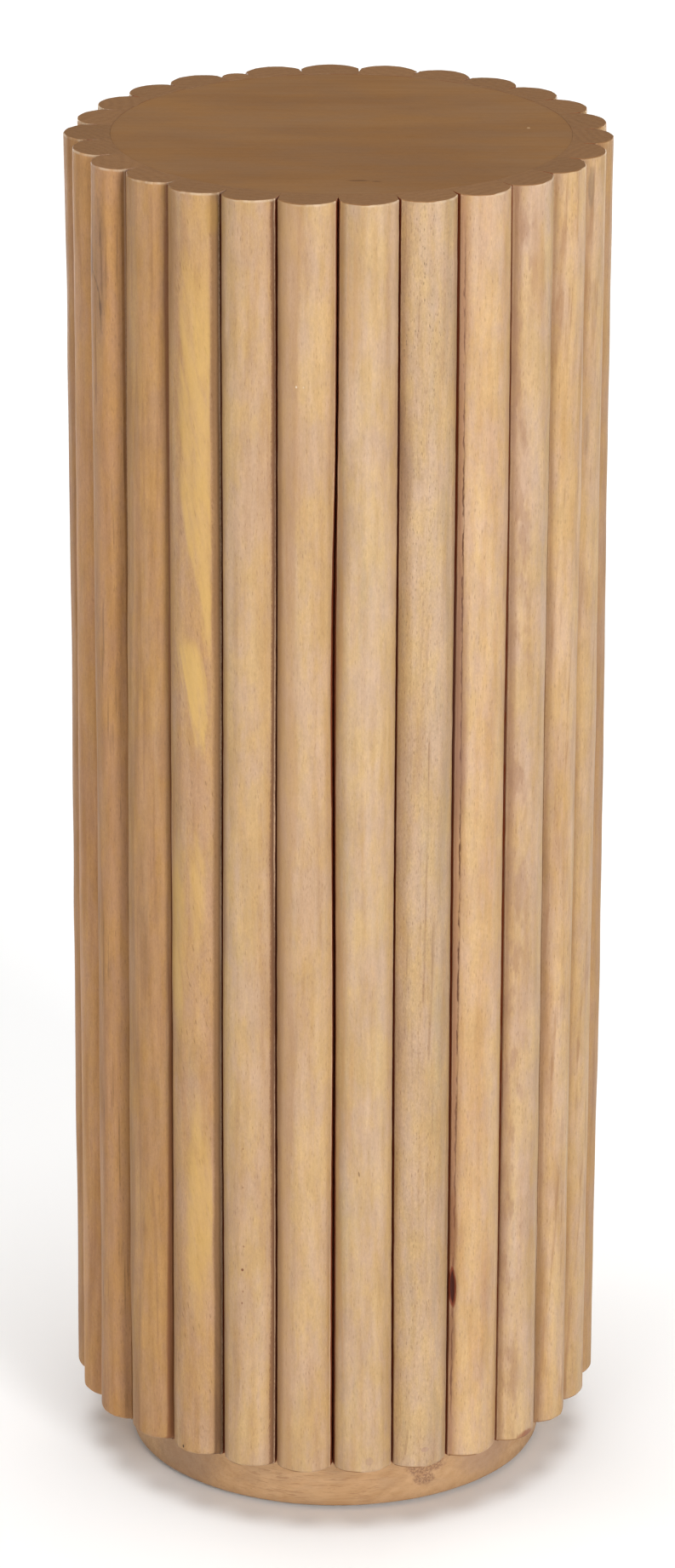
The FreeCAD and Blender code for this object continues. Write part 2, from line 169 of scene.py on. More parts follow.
def slat(name, theta_deg, left_joint, right_joint, left_angle, right_angle, seed, crest=CREST,
         facet=0.35, foot_round=2.8, proud=0.0, dents=(), lift=0.0):
    """One half-round slat. Its sides are nearly parallel, so the joints open outwards; the back is hollow to the
    drum and the round face is hand-planed."""
    rng = np.random.default_rng(seed)
    theta = math.radians(theta_deg)
    tangent, outward = wedge(theta)
    top_round = 0.75

    z = [FOOT_Z + lift + foot_round * (1 - math.cos(p)) for p in np.linspace(0, math.pi / 2, 7)]
    body0, body1 = z[-1], TOP_Z - top_round
    z += list(np.linspace(body0, body1, 168)[1:-1])
    z += [TOP_Z - top_round * (1 - math.sin(p)) for p in np.linspace(0, math.pi / 2, 5)]
    z = np.array(z)
    nz = len(z)
    foot_in = np.zeros(nz)
    foot_in[:7] = foot_round * (1 - np.sin(np.linspace(0, math.pi / 2, 7)))
    top_in = np.zeros(nz)
    top_in[-5:] = top_round * (1 - np.cos(np.linspace(0, math.pi / 2, 5)))

    shift_l, gap_l = left_joint
    shift_r, gap_r = right_joint
    mean_r = 133.0
    a_l = math.radians(theta_deg - left_angle) - shift_l(z) / mean_r
    a_r = math.radians(right_angle - theta_deg) + shift_r(z) / mean_r

    bow = Wander(seed + 1, 0.22, 620.0, 3)(z)
    top_crest = crest + proud(z) + bow if callable(proud) else crest + proud * smooth(z, 250, 700) + bow
    wave_small = Wander(seed + 2, 0.10, 95.0, 7, 3.0)
    wave_long = Wander(seed + 3, 0.13, 260.0, 5, 1.5)
    phase = Wander(seed + 4, 0.22, 500.0, 3)(z)
    strength = np.clip(facet * (1.0 + 0.8 * Wander(seed + 5, 0.6, 230.0, 4)(z)), 0.0, 0.8)
    step = math.radians(rng.uniform(24, 32))
    start = rng.uniform(0, step)
    chip = Wander(seed + 6, 0.30, 1.6, 6)
    nick_l, nick_r = Wander(seed + 7, 0.07, 23.0, 6)(z), Wander(seed + 8, 0.07, 23.0, 6)(z)

    def flank(a, gap, nick):
        """Half of a section: half width, face radius, arris turn, and the side's back corner."""
        back = BACK * math.sin(a) - GAP / 2
        half = (crest - RISE * back) * math.tan(a) - 0.5 * gap - nick
        half = max(half, back + 0.05)
        rise = RISE * min(half, 15.3) + 0.2 * max(half - 15.3, 0.0)
        r = (half * half + rise * rise) / (2 * rise)
        return half, r, math.asin((half - EDGE) / (r - EDGE)), back

    ring = []
    n_face, n_edge = (N_ARC - 1) // 2 - 6, 6
    for i in range(nz):
        sides = []
        for a, gap, nick in ((a_l[i], gap_l(z[i]), nick_l[i]), (a_r[i], gap_r(z[i]), nick_r[i])):
            half, r, turn, back = flank(a, float(gap), nick)
            face = np.linspace(0, turn, n_face + 1)
            edge = np.linspace(turn, math.radians(87), n_edge + 1)[1:]
            alpha = np.concatenate([face, edge])
            on_face = np.concatenate([np.ones(n_face + 1), np.zeros(n_edge)])
            sides.append((alpha, on_face, r, turn, back))
        alpha = np.concatenate([-sides[0][0][::-1], sides[1][0][1:]])
        on_face = np.concatenate([sides[0][1][::-1], sides[1][1][1:]])
        rad = np.where(np.arange(N_ARC) < N_ARC // 2, sides[0][2], sides[1][2])
        turn = np.where(np.arange(N_ARC) < N_ARC // 2, sides[0][3], sides[1][3])
        local = (alpha + start + phase[i]) % step - step / 2
        poly = math.cos(step / 2) / np.cos(local)
        poly = poly / (0.5 * (1 + math.cos(step / 2)))
        hold = 1.0 - smooth(np.abs(alpha) / turn, 0.80, 1.05)    # the joint edge stays in place
        depth = (rad * (poly - 1.0) * strength[i] + wave_small(np.full(N_ARC, z[i]), alpha)
                 + wave_long(np.full(N_ARC, z[i]), alpha)) * hold
        for (d_alpha, d_z, w_alpha, w_z, d_depth) in dents:
            q = ((alpha - d_alpha) / w_alpha) ** 2 + ((z[i] - d_z) / w_z) ** 2
            depth = depth - d_depth * np.exp(-q * q)
        eased = foot_in[i] * (1 + 0.5 * chip(alpha * 1.0)) + top_in[i]
        ease = eased * (1.0 - 0.55 * smooth(np.abs(alpha), 0.9, 1.5))
        push = depth - ease
        skel_r = np.where(on_face > 0, rad, rad - EDGE)
        skel_a = np.where(on_face > 0, np.abs(alpha), turn)
        tip = np.where(on_face > 0, 0.0, EDGE)
        sign = np.sign(alpha)
        x = sign * skel_r * np.sin(skel_a) + (tip + push) * np.sin(alpha)
        rho = (top_crest[i] - rad) + skel_r * np.cos(skel_a) + (tip + push) * np.cos(alpha)
        pts = []
        mid_l = (GAP / 2 - TOUCH * math.sin(a_l[i]), TOUCH * math.cos(a_l[i]))
        mid_r = (TOUCH * math.sin(a_r[i]) - GAP / 2, TOUCH * math.cos(a_r[i]))
        pts.append((-sides[0][4], BACK * math.cos(a_l[i])))      # left side, from the back corner outwards
        for t in np.linspace(0, 1, N_SIDE)[:-1]:
            pts.append((mid_l[0] + (x[0] - mid_l[0]) * t, mid_l[1] + (rho[0] - mid_l[1]) * t))
        pts += list(zip(x, rho))
        for t in np.linspace(1, 0, N_SIDE)[1:]:
            pts.append((mid_r[0] + (x[-1] - mid_r[0]) * t, mid_r[1] + (rho[-1] - mid_r[1]) * t))
        pts.append((sides[1][4], BACK * math.cos(a_r[i])))
        for t in np.linspace(1, 0, N_BACK + 2)[1:-1]:
            phi = -a_l[i] + (a_r[i] + a_l[i]) * t
            pts.append((BACK * math.sin(phi), BACK * math.cos(phi)))
        ring.append(pts)
    ring = np.array(ring)                                        # rows, columns, (x, rho)
    n = ring.shape[1]

    flat = [np.column_stack([ring[i], np.full(n, z[i])]) for i in range(nz)]
    faces, uvs = [], []
    idx = lambda i, j: i * n + (j % n)

    # bake layout: the length is folded into strips, the round face has most of the width
    seg = np.linalg.norm(np.diff(np.vstack([ring[nz // 2], ring[nz // 2][:1]]), axis=0), axis=1)
    weight = np.full(n, 0.25)
    weight[N_SIDE:N_SIDE + N_ARC - 1] = 1.0
    u_of = np.concatenate([[0.0], np.cumsum(seg * weight)])
    u_of /= u_of[-1]
    strips = 5
    per = int(math.ceil((nz - 1) / strips))
    pad = 0.004
    cap_v = 0.86

    def strip_uv(i, j, row):
        s = min(row // per, strips - 1)
        i0 = s * per
        i1 = min(i0 + per, nz - 1)
        u = (s + pad * strips + u_of[j] * (1 - 2 * pad * strips)) / strips
        zz = (z[i] - z[i0]) / (z[i1] - z[i0])
        return (u, pad + zz * (cap_v - 2 * pad))

    for i in range(nz - 1):
        for j in range(n):
            faces.append((idx(i, j), idx(i, j + 1), idx(i + 1, j + 1), idx(i + 1, j)))
            uvs.append((strip_uv(i, j, i), strip_uv(i, j + 1, i), strip_uv(i + 1, j + 1, i), strip_uv(i + 1, j, i)))

    mid = np.array([0.0, 132.0])

    def cap_uv(p, off):
        return (off + 0.125 + p[0] / 34.0 * 0.20, cap_v + 0.07 + (p[1] - 134.0) / 24.0 * 0.11)

    total = nz * n
    for end, (row, sign, off) in enumerate(((nz - 1, 1, 0.0), (0, -1, 0.25))):
        base = ring[row]
        rough = Wander(seed + 20 + end, 0.05, 6.0, 6, 1.0)
        rows = [list(range(row * n, row * n + n))]
        rows_xy = [base]
        for s in (0.955, 0.82, 0.6, 0.36):
            inner = mid + (base - mid) * s
            dz = 0.4 * rough(inner[:, 0], inner[:, 1] * 0.7) * (1 - s) ** 0.5
            flat.append(np.column_stack([inner, np.full(n, z[row]) - 0.02 * sign + np.minimum(dz * sign, 0) * sign]))
            rows.append(list(range(total, total + n)))
            rows_xy.append(inner)
            total += n
        flat.append(np.array([[mid[0], mid[1], z[row] - 0.03 * sign]]))
        centre = total
        total += 1
        for a in range(len(rows) - 1):
            for j in range(n):
                k = (j + 1) % n
                f = (rows[a][j], rows[a][k], rows[a + 1][k], rows[a + 1][j])
                uv = tuple(cap_uv(p, off) for p in (rows_xy[a][j], rows_xy[a][k], rows_xy[a + 1][k], rows_xy[a + 1][j]))
                faces.append(f if sign > 0 else f[::-1])
                uvs.append(uv if sign > 0 else uv[::-1])
        for j in range(n):
            k = (j + 1) % n
            f = (rows[-1][j], rows[-1][k], centre)
            uv = (cap_uv(rows_xy[-1][j], off), cap_uv(rows_xy[-1][k], off), cap_uv(mid, off))
            faces.append(f if sign > 0 else f[::-1])
            uvs.append(uv if sign > 0 else uv[::-1])

    pts = np.vstack(flat)
    world = np.empty_like(pts)
    world[:, 0] = pts[:, 0] * tangent[0] + pts[:, 1] * outward[0]
    world[:, 1] = pts[:, 0] * tangent[1] + pts[:, 1] * outward[1]
    world[:, 2] = pts[:, 2]
    obj = new_object(name, world * MM, faces, 42)
    layer = obj.data.uv_layers.new(name="OFBake")
    layer.data.foreach_set("uv", np.array([c for f in uvs for c in f], float).ravel())
    return obj


def lathe(name, profile, count, smooth_angle=38, move=None):
    """A turned solid from (radius, height) pairs, first and last on the axis. move shifts the points."""
    verts, faces = [], []
    ang = np.linspace(0, 2 * math.pi, count, endpoint=False)
    rows = []
    for r, h in profile:
        if r <= 1e-9:
            rows.append([len(verts)])
            verts.append((0.0, 0.0, h))
        else:
            rows.append(list(range(len(verts), len(verts) + count)))
            verts += [(r * math.sin(a), -r * math.cos(a), h) for a in ang]
    for a in range(len(rows) - 1):
        lo, hi = rows[a], rows[a + 1]
        for j in range(count):
            k = (j + 1) % count
            if len(lo) == 1:
                faces.append((lo[0], hi[k], hi[j]))
            elif len(hi) == 1:
                faces.append((lo[j], lo[k], hi[0]))
            else:
                faces.append((lo[j], lo[k], hi[k], hi[j]))
    verts = np.array(verts)
    if move is not None:
        verts = move(verts)
    return new_object(name, verts * MM, faces, smooth_angle)


def quarter(r, z, size, start, steps=4):
    """Points of a small round edge, about a centre, from one compass angle over a quarter turn."""
    return [(r + size * math.cos(a), z + size * math.sin(a))
            for a in np.linspace(math.radians(start), math.radians(start + 90), steps + 1)]


# ---------------------------------------------------------------- finishes
def lin(r, g, b, light=1.0):
    """Linear reflectance of a tone given as screen red, green, blue, seen under that much light."""
    out = []
    for c in (r, g, b):
        c = c / 255.0
        c = c / 12.92 if c <= 0.04045 else ((c + 0.055) / 1.055) ** 2.4
        out.append(min(c / light, 0.92))
    return (*out, 1.0)


class Finish:
    """Builds one procedural material."""

    def __init__(self, name, rough=0.5, specular=0.4):
        self.mat = bpy.data.materials.new(name)
        self.mat.use_nodes = True
        self.tree = self.mat.node_tree
        self.tree.nodes.clear()
        out = self.tree.nodes.new("ShaderNodeOutputMaterial")
        self.bsdf = self.tree.nodes.new("ShaderNodeBsdfPrincipled")
        self.tree.links.new(self.bsdf.outputs["BSDF"], out.inputs["Surface"])
        self.bsdf.inputs["Roughness"].default_value = rough
        self.bsdf.inputs["Specular IOR Level"].default_value = specular
        self.object = self.tree.nodes.new("ShaderNodeTexCoord").outputs["Object"]

    def put(self, socket, value):
        if isinstance(value, bpy.types.NodeSocket):
            self.tree.links.new(value, socket)
        else:
            socket.default_value = value

    def set(self, name, value):
        self.put(self.bsdf.inputs[name], value)

    def math(self, op, a, b=0.0, c=0.0, clamp=False):
        n = self.tree.nodes.new("ShaderNodeMath")
        n.operation = op
        n.use_clamp = clamp
        self.put(n.inputs[0], a)
        self.put(n.inputs[1], b)
        self.put(n.inputs[2], c)
        return n.outputs[0]

    def add(self, a, b):
        return self.math("ADD", a, b)

    def mul(self, a, b, clamp=False):
        return self.math("MULTIPLY", a, b, clamp=clamp)

    def shift(self, vector, amount, by):
        n = self.tree.nodes.new("ShaderNodeVectorMath")
        n.operation = "MULTIPLY_ADD"
        self.put(n.inputs[0], amount)
        n.inputs[1].default_value = by
        self.put(n.inputs[2], vector)
        return n.outputs[0]

    def place(self, vector, move=(0, 0, 0), turn=(0, 0, 0), scale=(1, 1, 1)):
        n = self.tree.nodes.new("ShaderNodeMapping")
        self.put(n.inputs["Vector"], vector)
        n.inputs["Location"].default_value = move
        n.inputs["Rotation"].default_value = turn
        n.inputs["Scale"].default_value = scale
        return n.outputs[0]

    def split(self, vector):
        n = self.tree.nodes.new("ShaderNodeSeparateXYZ")
        self.put(n.inputs[0], vector)
        return n.outputs[0], n.outputs[1], n.outputs[2]

    def noise(self, vector, scale, detail=2.0, rough=0.5, bend=0.0, colour=False):
        n = self.tree.nodes.new("ShaderNodeTexNoise")
        self.put(n.inputs["Vector"], vector)
        n.inputs["Scale"].default_value = scale
        n.inputs["Detail"].default_value = detail
        n.inputs["Roughness"].default_value = rough
        n.inputs["Distortion"].default_value = bend
        return n.outputs["Color" if colour else "Fac"]

    def rings(self, vector, scale, bend=2.0, detail=2.0, detail_scale=1.0, axis="Z"):
        n = self.tree.nodes.new("ShaderNodeTexWave")
        n.wave_type = "RINGS"
        n.rings_direction = axis
        n.wave_profile = "SIN"
        self.put(n.inputs["Vector"], vector)
        n.inputs["Scale"].default_value = scale
        n.inputs["Distortion"].default_value = bend
        n.inputs["Detail"].default_value = detail
        n.inputs["Detail Scale"].default_value = detail_scale
        n.inputs["Detail Roughness"].default_value = 0.5
        return n.outputs["Fac"]

    def cells(self, vector, scale, jitter=1.0):
        n = self.tree.nodes.new("ShaderNodeTexVoronoi")
        n.feature = "F1"
        self.put(n.inputs["Vector"], vector)
        n.inputs["Scale"].default_value = scale
        n.inputs["Randomness"].default_value = jitter
        return n.outputs["Distance"], n.outputs["Color"]

    def step(self, value, lo, hi, a=0.0, b=1.0):
        n = self.tree.nodes.new("ShaderNodeMapRange")
        n.interpolation_type = "SMOOTHSTEP"
        n.clamp = True
        self.put(n.inputs["Value"], value)
        n.inputs["From Min"].default_value = lo
        n.inputs["From Max"].default_value = hi
        n.inputs["To Min"].default_value = a
        n.inputs["To Max"].default_value = b
        return n.outputs["Result"]

    def mix(self, fac, a, b, mode="MIX"):
        n = self.tree.nodes.new("ShaderNodeMix")
        n.data_type = "RGBA"
        n.blend_type = mode
        self.put(n.inputs[0], fac)
        self.put(n.inputs[6], a)
        self.put(n.inputs[7], b)
        return n.outputs[2]

    def curve(self, value, stops, ease="EASE"):
        """Grey value along stops of (position, value)."""
        n = self.tree.nodes.new("ShaderNodeValToRGB")
        n.color_ramp.interpolation = ease
        el = n.color_ramp.elements
        while len(el) < len(stops):
            el.new(0.5)
        for e, (p, v) in zip(el, stops):
            e.position = p
        for e, (p, v) in zip(el, stops):
            e.position = p
            e.color = (v, v, v, 1)
        self.put(n.inputs[0], value)
        return n.outputs["Color"]

    def vary(self, colour, value, amount):
        """The colour made lighter and darker with a value about one half."""
        k = self.add(self.mul(value, 2.0 * amount), 1.0 - amount)
        return self.mix(1.0, colour, k, "MULTIPLY")

    def thread(self, x, z, points, width, blur=0.4):
        """Mask of a thin line through (z, x) points in millimetres, lowest first."""
        zs, xs = [p[0] for p in points], [p[1] for p in points]
        lo, hi = min(xs) - 0.5, max(xs) + 0.5
        t = self.mul(self.add(z, -zs[0] * MM), 1.0 / ((zs[-1] - zs[0]) * MM))
        way = self.curve(t, [((a - zs[0]) / (zs[-1] - zs[0]), (b - lo) / (hi - lo)) for a, b in points], "B_SPLINE")
        off = self.math("ABSOLUTE", self.math("SUBTRACT", x, self.add(self.mul(way, (hi - lo) * MM), lo * MM)))
        inside = self.mul(self.step(t, 0.0, 0.06), self.step(t, 1.0, 0.94))
        return self.mul(self.step(off, width * MM * (1 + blur), width * MM * (1 - blur)), inside)

    def border(self, x, z, points, blur):
        """Mask of everything to the right of a line through (z, x) points in millimetres, lowest first."""
        zs, xs = [p[0] for p in points], [p[1] for p in points]
        lo, hi = min(xs) - 0.5, max(xs) + 0.5
        t = self.mul(self.add(z, -zs[0] * MM), 1.0 / ((zs[-1] - zs[0]) * MM))
        way = self.curve(t, [((a - zs[0]) / (zs[-1] - zs[0]), (b - lo) / (hi - lo)) for a, b in points], "B_SPLINE")
        off = self.math("SUBTRACT", x, self.add(self.mul(way, (hi - lo) * MM), lo * MM))
        return self.step(off, -blur * MM, blur * MM)

    def normal_z(self):
        n = self.tree.nodes.new("ShaderNodeNewGeometry")
        return self.split(n.outputs["Normal"])[2]

    def bump(self, height, strength, distance):
        n = self.tree.nodes.new("ShaderNodeBump")
        n.inputs["Strength"].default_value = strength
        n.inputs["Distance"].default_value = distance
        self.put(n.inputs["Height"], height)
        self.set("Normal", n.outputs["Normal"])


LIGHT = 1.57         # light on the brightest part of a slat
TOP_LIGHT = 1.09     # light on the level top

# pale tone, streak tone, flank tone (painted shade on the flanks, partly finish left in the grooves)
TONES = {
    "pale": ((217, 181, 140), (197, 157, 113), (140, 98, 66)),
    "honey": ((221, 183, 139), (196, 152, 104), (138, 94, 60)),
    "pink": ((216, 179, 142), (196, 156, 120), (136, 96, 72)),
    "peach": ((227, 187, 143), (207, 160, 114), (142, 92, 60)),
    "brown": ((190, 143, 98), (165, 117, 75), (122, 82, 54)),
    "tan": ((205, 163, 119), (182, 137, 94), (126, 86, 58)),
    "clay": ((205, 155, 106), (180, 130, 84), (126, 84, 56)),
    "orange": ((216, 174, 128), (192, 146, 98), (134, 88, 54)),
}
GREY = (201, 172, 136)
# end grain tones, partly stain and partly painted shade of the level ends
END_TONE = (147, 107, 69)
END_DARK = (127, 90, 56)


def slat_wood(name, theta_deg, seed, tone, left=((0.0, 0.35), (1.0, 0.35)), right=((0.0, 0.35), (1.0, 0.35)),
              grey=0.35, pores=0.5, ring_size=6.5, extras=None, flank=None, deep=0.92, painted_shadow_band=None, shade=1.0,
              crest=CREST, arris=(0.96, 0.96), tint=None):
    rng = np.random.default_rng(seed)
    pale, streak, edge = TONES[tone]
    if flank is not None:
        edge = flank
    m = Finish(name, 0.56, 0.15)
    local = m.place(m.object, turn=(0, 0, -math.radians(theta_deg)))
    x, y, z = m.split(local)
    away = tuple(rng.uniform(-3, 3, 3))

    # slow bend of the grain
    bend = m.noise(m.place(local, away, scale=(9, 9, 1.6)), 1.0, 2.0, colour=True)
    grain = m.shift(local, bend, (0.012, 0.012, 0.0))
    pith = (rng.uniform(-0.035, 0.035), 0.135 + rng.uniform(0.03, 0.08), 0)
    lean = (rng.uniform(-0.035, 0.035), rng.uniform(-0.05, 0.05), 0)
    ring = m.rings(m.place(grain, pith, lean), 0.314 / (ring_size * MM), 3.0, 2.0, 1.6)
    broad = m.noise(m.place(grain, away, scale=(1, 1, 0.11)), 48.0, 2.0, 0.5)
    soft = m.noise(m.place(grain, away, scale=(1, 1, 0.075)), 185.0, 4.0, 0.6)
    fibre = m.noise(m.place(grain, away, scale=(1, 1, 0.14)), 1050.0, 3.0, 0.65)

    tone_mix = m.add(m.mul(m.step(soft, 0.34, 0.72), 0.58), m.mul(m.step(broad, 0.36, 0.66), 0.40))
    tone_mix = m.add(tone_mix, m.mul(ring, 0.20))
    tone_mix = m.math("SUBTRACT", tone_mix, 0.22, clamp=True)
    colour = m.mix(tone_mix, lin(*pale, LIGHT / shade), lin(*streak, LIGHT / shade))

    # grey weathered streaks
    cast = m.noise(m.place(grain, tuple(rng.uniform(-3, 3, 3)), scale=(1, 1, 0.09)), 110.0, 3.0, 0.55)
    colour = m.mix(m.mul(m.step(cast, 0.52, 0.74), grey), colour, lin(*GREY, LIGHT))

    # patches that turn yellow or pink
    hue = m.noise(m.place(grain, tuple(rng.uniform(-3, 3, 3)), scale=(1, 1, 0.36)), 62.0, 2.0, 0.6)
    hue = m.add(m.mul(hue, 0.62), m.mul(m.noise(m.place(grain, tuple(rng.uniform(-3, 3, 3)), scale=(1, 1, 0.34)), 260.0, 2.0, 0.6), 0.38))
    colour = m.mix(1.0, colour, m.mix(m.step(hue, 0.36, 0.64), (1.03, 1.01, 0.85, 1), (0.985, 0.985, 1.10, 1)), "MULTIPLY")
    mottle = m.noise(m.place(local, tuple(rng.uniform(-3, 3, 3)), scale=(1, 1, 0.45)), 95.0, 3.0, 0.6)
    colour = m.vary(colour, m.step(mottle, 0.25, 0.75), 0.055)
    if tint is not None:
        colour = m.mix(1.0, colour, (*tint, 1), "MULTIPLY")

    # fibres, fine pores and a few longer open pores along the grain
    grit = m.noise(m.place(grain, away, scale=(1, 1, 0.46)), 1150.0, 2.0, 0.7)
    colour = m.vary(colour, fibre, 0.12)
    colour = m.vary(colour, grit, 0.18)
    dist, cell = m.cells(m.place(grain, away, scale=(1, 1, 0.24)), 820.0)
    fine = m.mul(m.step(dist, 0.34, 0.14), m.step(m.split(cell)[0], 0.40, 0.70))
    dist, cell = m.cells(m.place(grain, away, scale=(1, 1, 0.16)), 520.0)
    patchy = m.step(m.noise(m.place(local, away, scale=(1, 1, 0.25)), 60.0, 1.0), 0.40, 0.66)
    pore = m.mul(m.mul(m.step(dist, 0.20, 0.07), m.step(m.split(cell)[0], 0.60, 0.85)), patchy)
    colour = m.mix(m.mul(fine, pores * 0.46), colour, lin(140, 102, 72, LIGHT))
    colour = m.mix(m.mul(pore, pores * 0.32), colour, lin(122, 86, 60, LIGHT))

    # short oblique nicks left by the plane
    dist, cell = m.cells(m.place(m.place(local, away, turn=(0, float(rng.uniform(-0.3, 0.3)), 0)), scale=(1, 1, 0.2)), 640.0)
    nick = m.mul(m.mul(m.step(dist, 0.26, 0.10), m.step(m.split(cell)[1], 0.45, 0.75)), m.step(mottle, 0.42, 0.62))
    colour = m.mix(m.mul(nick, 0.24), colour, lin(132, 94, 62, LIGHT))

    # flanks and joints: painted shade, partly finish left in the grooves, and a painted highlight on the arris
    side = m.step(x, -0.003, 0.003)
    even = m.add(m.mul(side, 0.96 / arris[1] - 0.96 / arris[0]), 0.96 / arris[0])
    depth = m.mul(m.mul(m.add(y, crest * MM), 1.0 / 0.0093), even)      # 0 on the crest, 1 at the arris, more in the joint
    up = m.mul(z, 1.0 / 0.76)
    hold = m.mix(side, m.curve(up, left), m.curve(up, right))
    ragged = m.noise(m.place(local, away, scale=(1, 1, 0.05)), 130.0, 3.0, 0.6)
    reach = m.add(depth, m.mul(m.math("SUBTRACT", ragged, 0.5), 0.55))
    # painted shade: the flanks turn warmer and more saturated, like light bounced in the grooves
    warm_flank_shade = m.mul(m.step(depth, 0.25, 1.0), m.step(side, 0.0, 1.0, 1.0, 0.5))
    colour = m.mix(warm_flank_shade, colour, m.mix(1.0, colour, (0.985, 0.94, 0.85, 1), "MULTIPLY"))
    # painted shade: the flanks darken towards the joints, partly finish left in the grooves; left and right set its
    # strength up the height
    stain = m.mul(m.step(reach, 0.42, 0.90), hold, True)
    colour = m.mix(stain, colour, lin(*edge, LIGHT))
    if painted_shadow_band is not None:                                   # painted shadow along the right edge, cast by the next slat
        start, blur, dull, amount = painted_shadow_band
        sway = m.noise(m.place(local, away, scale=(0, 0, 1)), 9.0, 2.0)
        painted_shadow_strip = m.add(depth, m.mul(m.math("SUBTRACT", sway, 0.5), 0.22))
        painted_shadow_strip = m.add(painted_shadow_strip, m.add(m.mul(m.math("SUBTRACT", ragged, 0.5), 0.16), m.mul(m.math("SUBTRACT", grit, 0.5), 0.20)))
        painted_shadow_strip = m.mul(m.step(painted_shadow_strip, start - blur, start + blur), m.step(x, 0.002, 0.004))
        colour = m.mix(m.mul(painted_shadow_strip, amount), colour, lin(*dull, LIGHT))
        # the painted shadow turns darker deeper in the flank
        colour = m.mix(m.mul(painted_shadow_strip, m.step(depth, 0.74, 0.95, 0.0, 0.60)), colour, lin(*[0.62 * c for c in dull], LIGHT))
    # painted highlight along the arris, stronger on the right side where the light falls
    arris_highlight = m.mul(m.mul(m.step(depth, 0.88, 0.95), m.step(depth, 1.04, 1.0)), m.step(m.add(ragged, m.mul(grit, 0.5)), 0.55, 0.85, 0.15, 0.85))
    arris_highlight = m.mul(arris_highlight, m.step(side, 0.0, 1.0, 0.35, 1.0))
    colour = m.mix(arris_highlight, colour, lin(226, 188, 152, LIGHT))
    # painted shade in the joints: the walls turn dark red-brown deeper in the gap
    colour = m.mix(m.mul(m.step(depth, 0.99, 1.10), deep), colour, lin(142, 56, 20, LIGHT))
    colour = m.mix(m.mul(m.step(depth, 1.10, 1.30), deep), colour, lin(186, 100, 62, LIGHT))

    dark = [pore, m.mul(fine, 0.5), m.mul(nick, 0.6)]
    if extras is not None:
        colour = extras(m, colour, local, x, y, z, depth, dark)

    # pale line on the upper edge, partly wear and partly painted highlight, mostly on the right half; end grain on the
    # ends
    edge_wear_and_highlight = m.mul(m.step(z, 0.7583, 0.7594), m.step(ragged, 0.38, 0.60, 0.10, 0.70))
    edge_wear_and_highlight = m.mul(edge_wear_and_highlight, m.step(x, -0.009, 0.002, 0.0, 1.0))
    colour = m.mix(edge_wear_and_highlight, colour, lin(232, 204, 172, LIGHT))
    face = m.math("ABSOLUTE", m.normal_z())
    # on the left side the end tone reaches further down the rounded top edge, as painted shade
    ends = m.step(m.add(face, m.step(side, 0.0, 1.0, 0.42, 0.0)), 0.80, 0.97)
    end_grain = m.noise(m.place(local, away), 420.0, 3.0, 0.6)
    end_ring = m.rings(m.place(local, pith), 0.314 / (ring_size * MM * 0.7), 1.2, 2.0, 2.0)
    end_mix = m.add(m.mul(m.step(end_grain, 0.3, 0.75), 0.45), m.mul(end_ring, 0.25))
    lot = float(rng.uniform(0.92, 1.08))
    colour = m.mix(ends, colour, m.mix(end_mix, lin(*END_TONE, TOP_LIGHT / lot), lin(*END_DARK, TOP_LIGHT / lot)))
    m.set("Base Color", colour)

    lift = m.add(m.mul(fibre, 0.55), m.mul(soft, 0.45))
    for d in dark:
        lift = m.math("SUBTRACT", lift, m.mul(d, 0.6))
    m.bump(lift, 0.36, 0.0005)
    m.set("Roughness", m.step(soft, 0.25, 0.75, 0.46, 0.60))
    return m.mat


def spot(m, x, z, at_x, at_z, size_x, size_z, soft=0.35, ragged=None, amount=0.6, lean=0.0):
    """Mask of a patch on the round face, about a place given in millimetres."""
    dz = m.mul(m.add(z, -at_z * MM), 1.0 / (size_z * MM))
    dx = m.mul(m.add(x, -at_x * MM), 1.0 / (size_x * MM))
    if lean:
        dx = m.add(dx, m.mul(dz, lean))
    d = m.add(m.mul(dx, dx), m.mul(dz, dz))
    if ragged is not None:
        d = m.add(d, m.mul(m.math("SUBTRACT", ragged, 0.5), amount * 2))
    return m.step(d, 1.0 + soft, 1.0 - soft)


def flecks(m, local, seed, size, cut=0.62):
    """Small scattered marks stretched along the grain."""
    dist, cell = m.cells(m.place(local, tuple(np.random.default_rng(seed).uniform(-3, 3, 3)), scale=(1, 1, 0.3)), 1.0 / size)
    return m.mul(m.step(dist, 0.34, 0.16), m.step(m.split(cell)[1], cut, cut + 0.12))


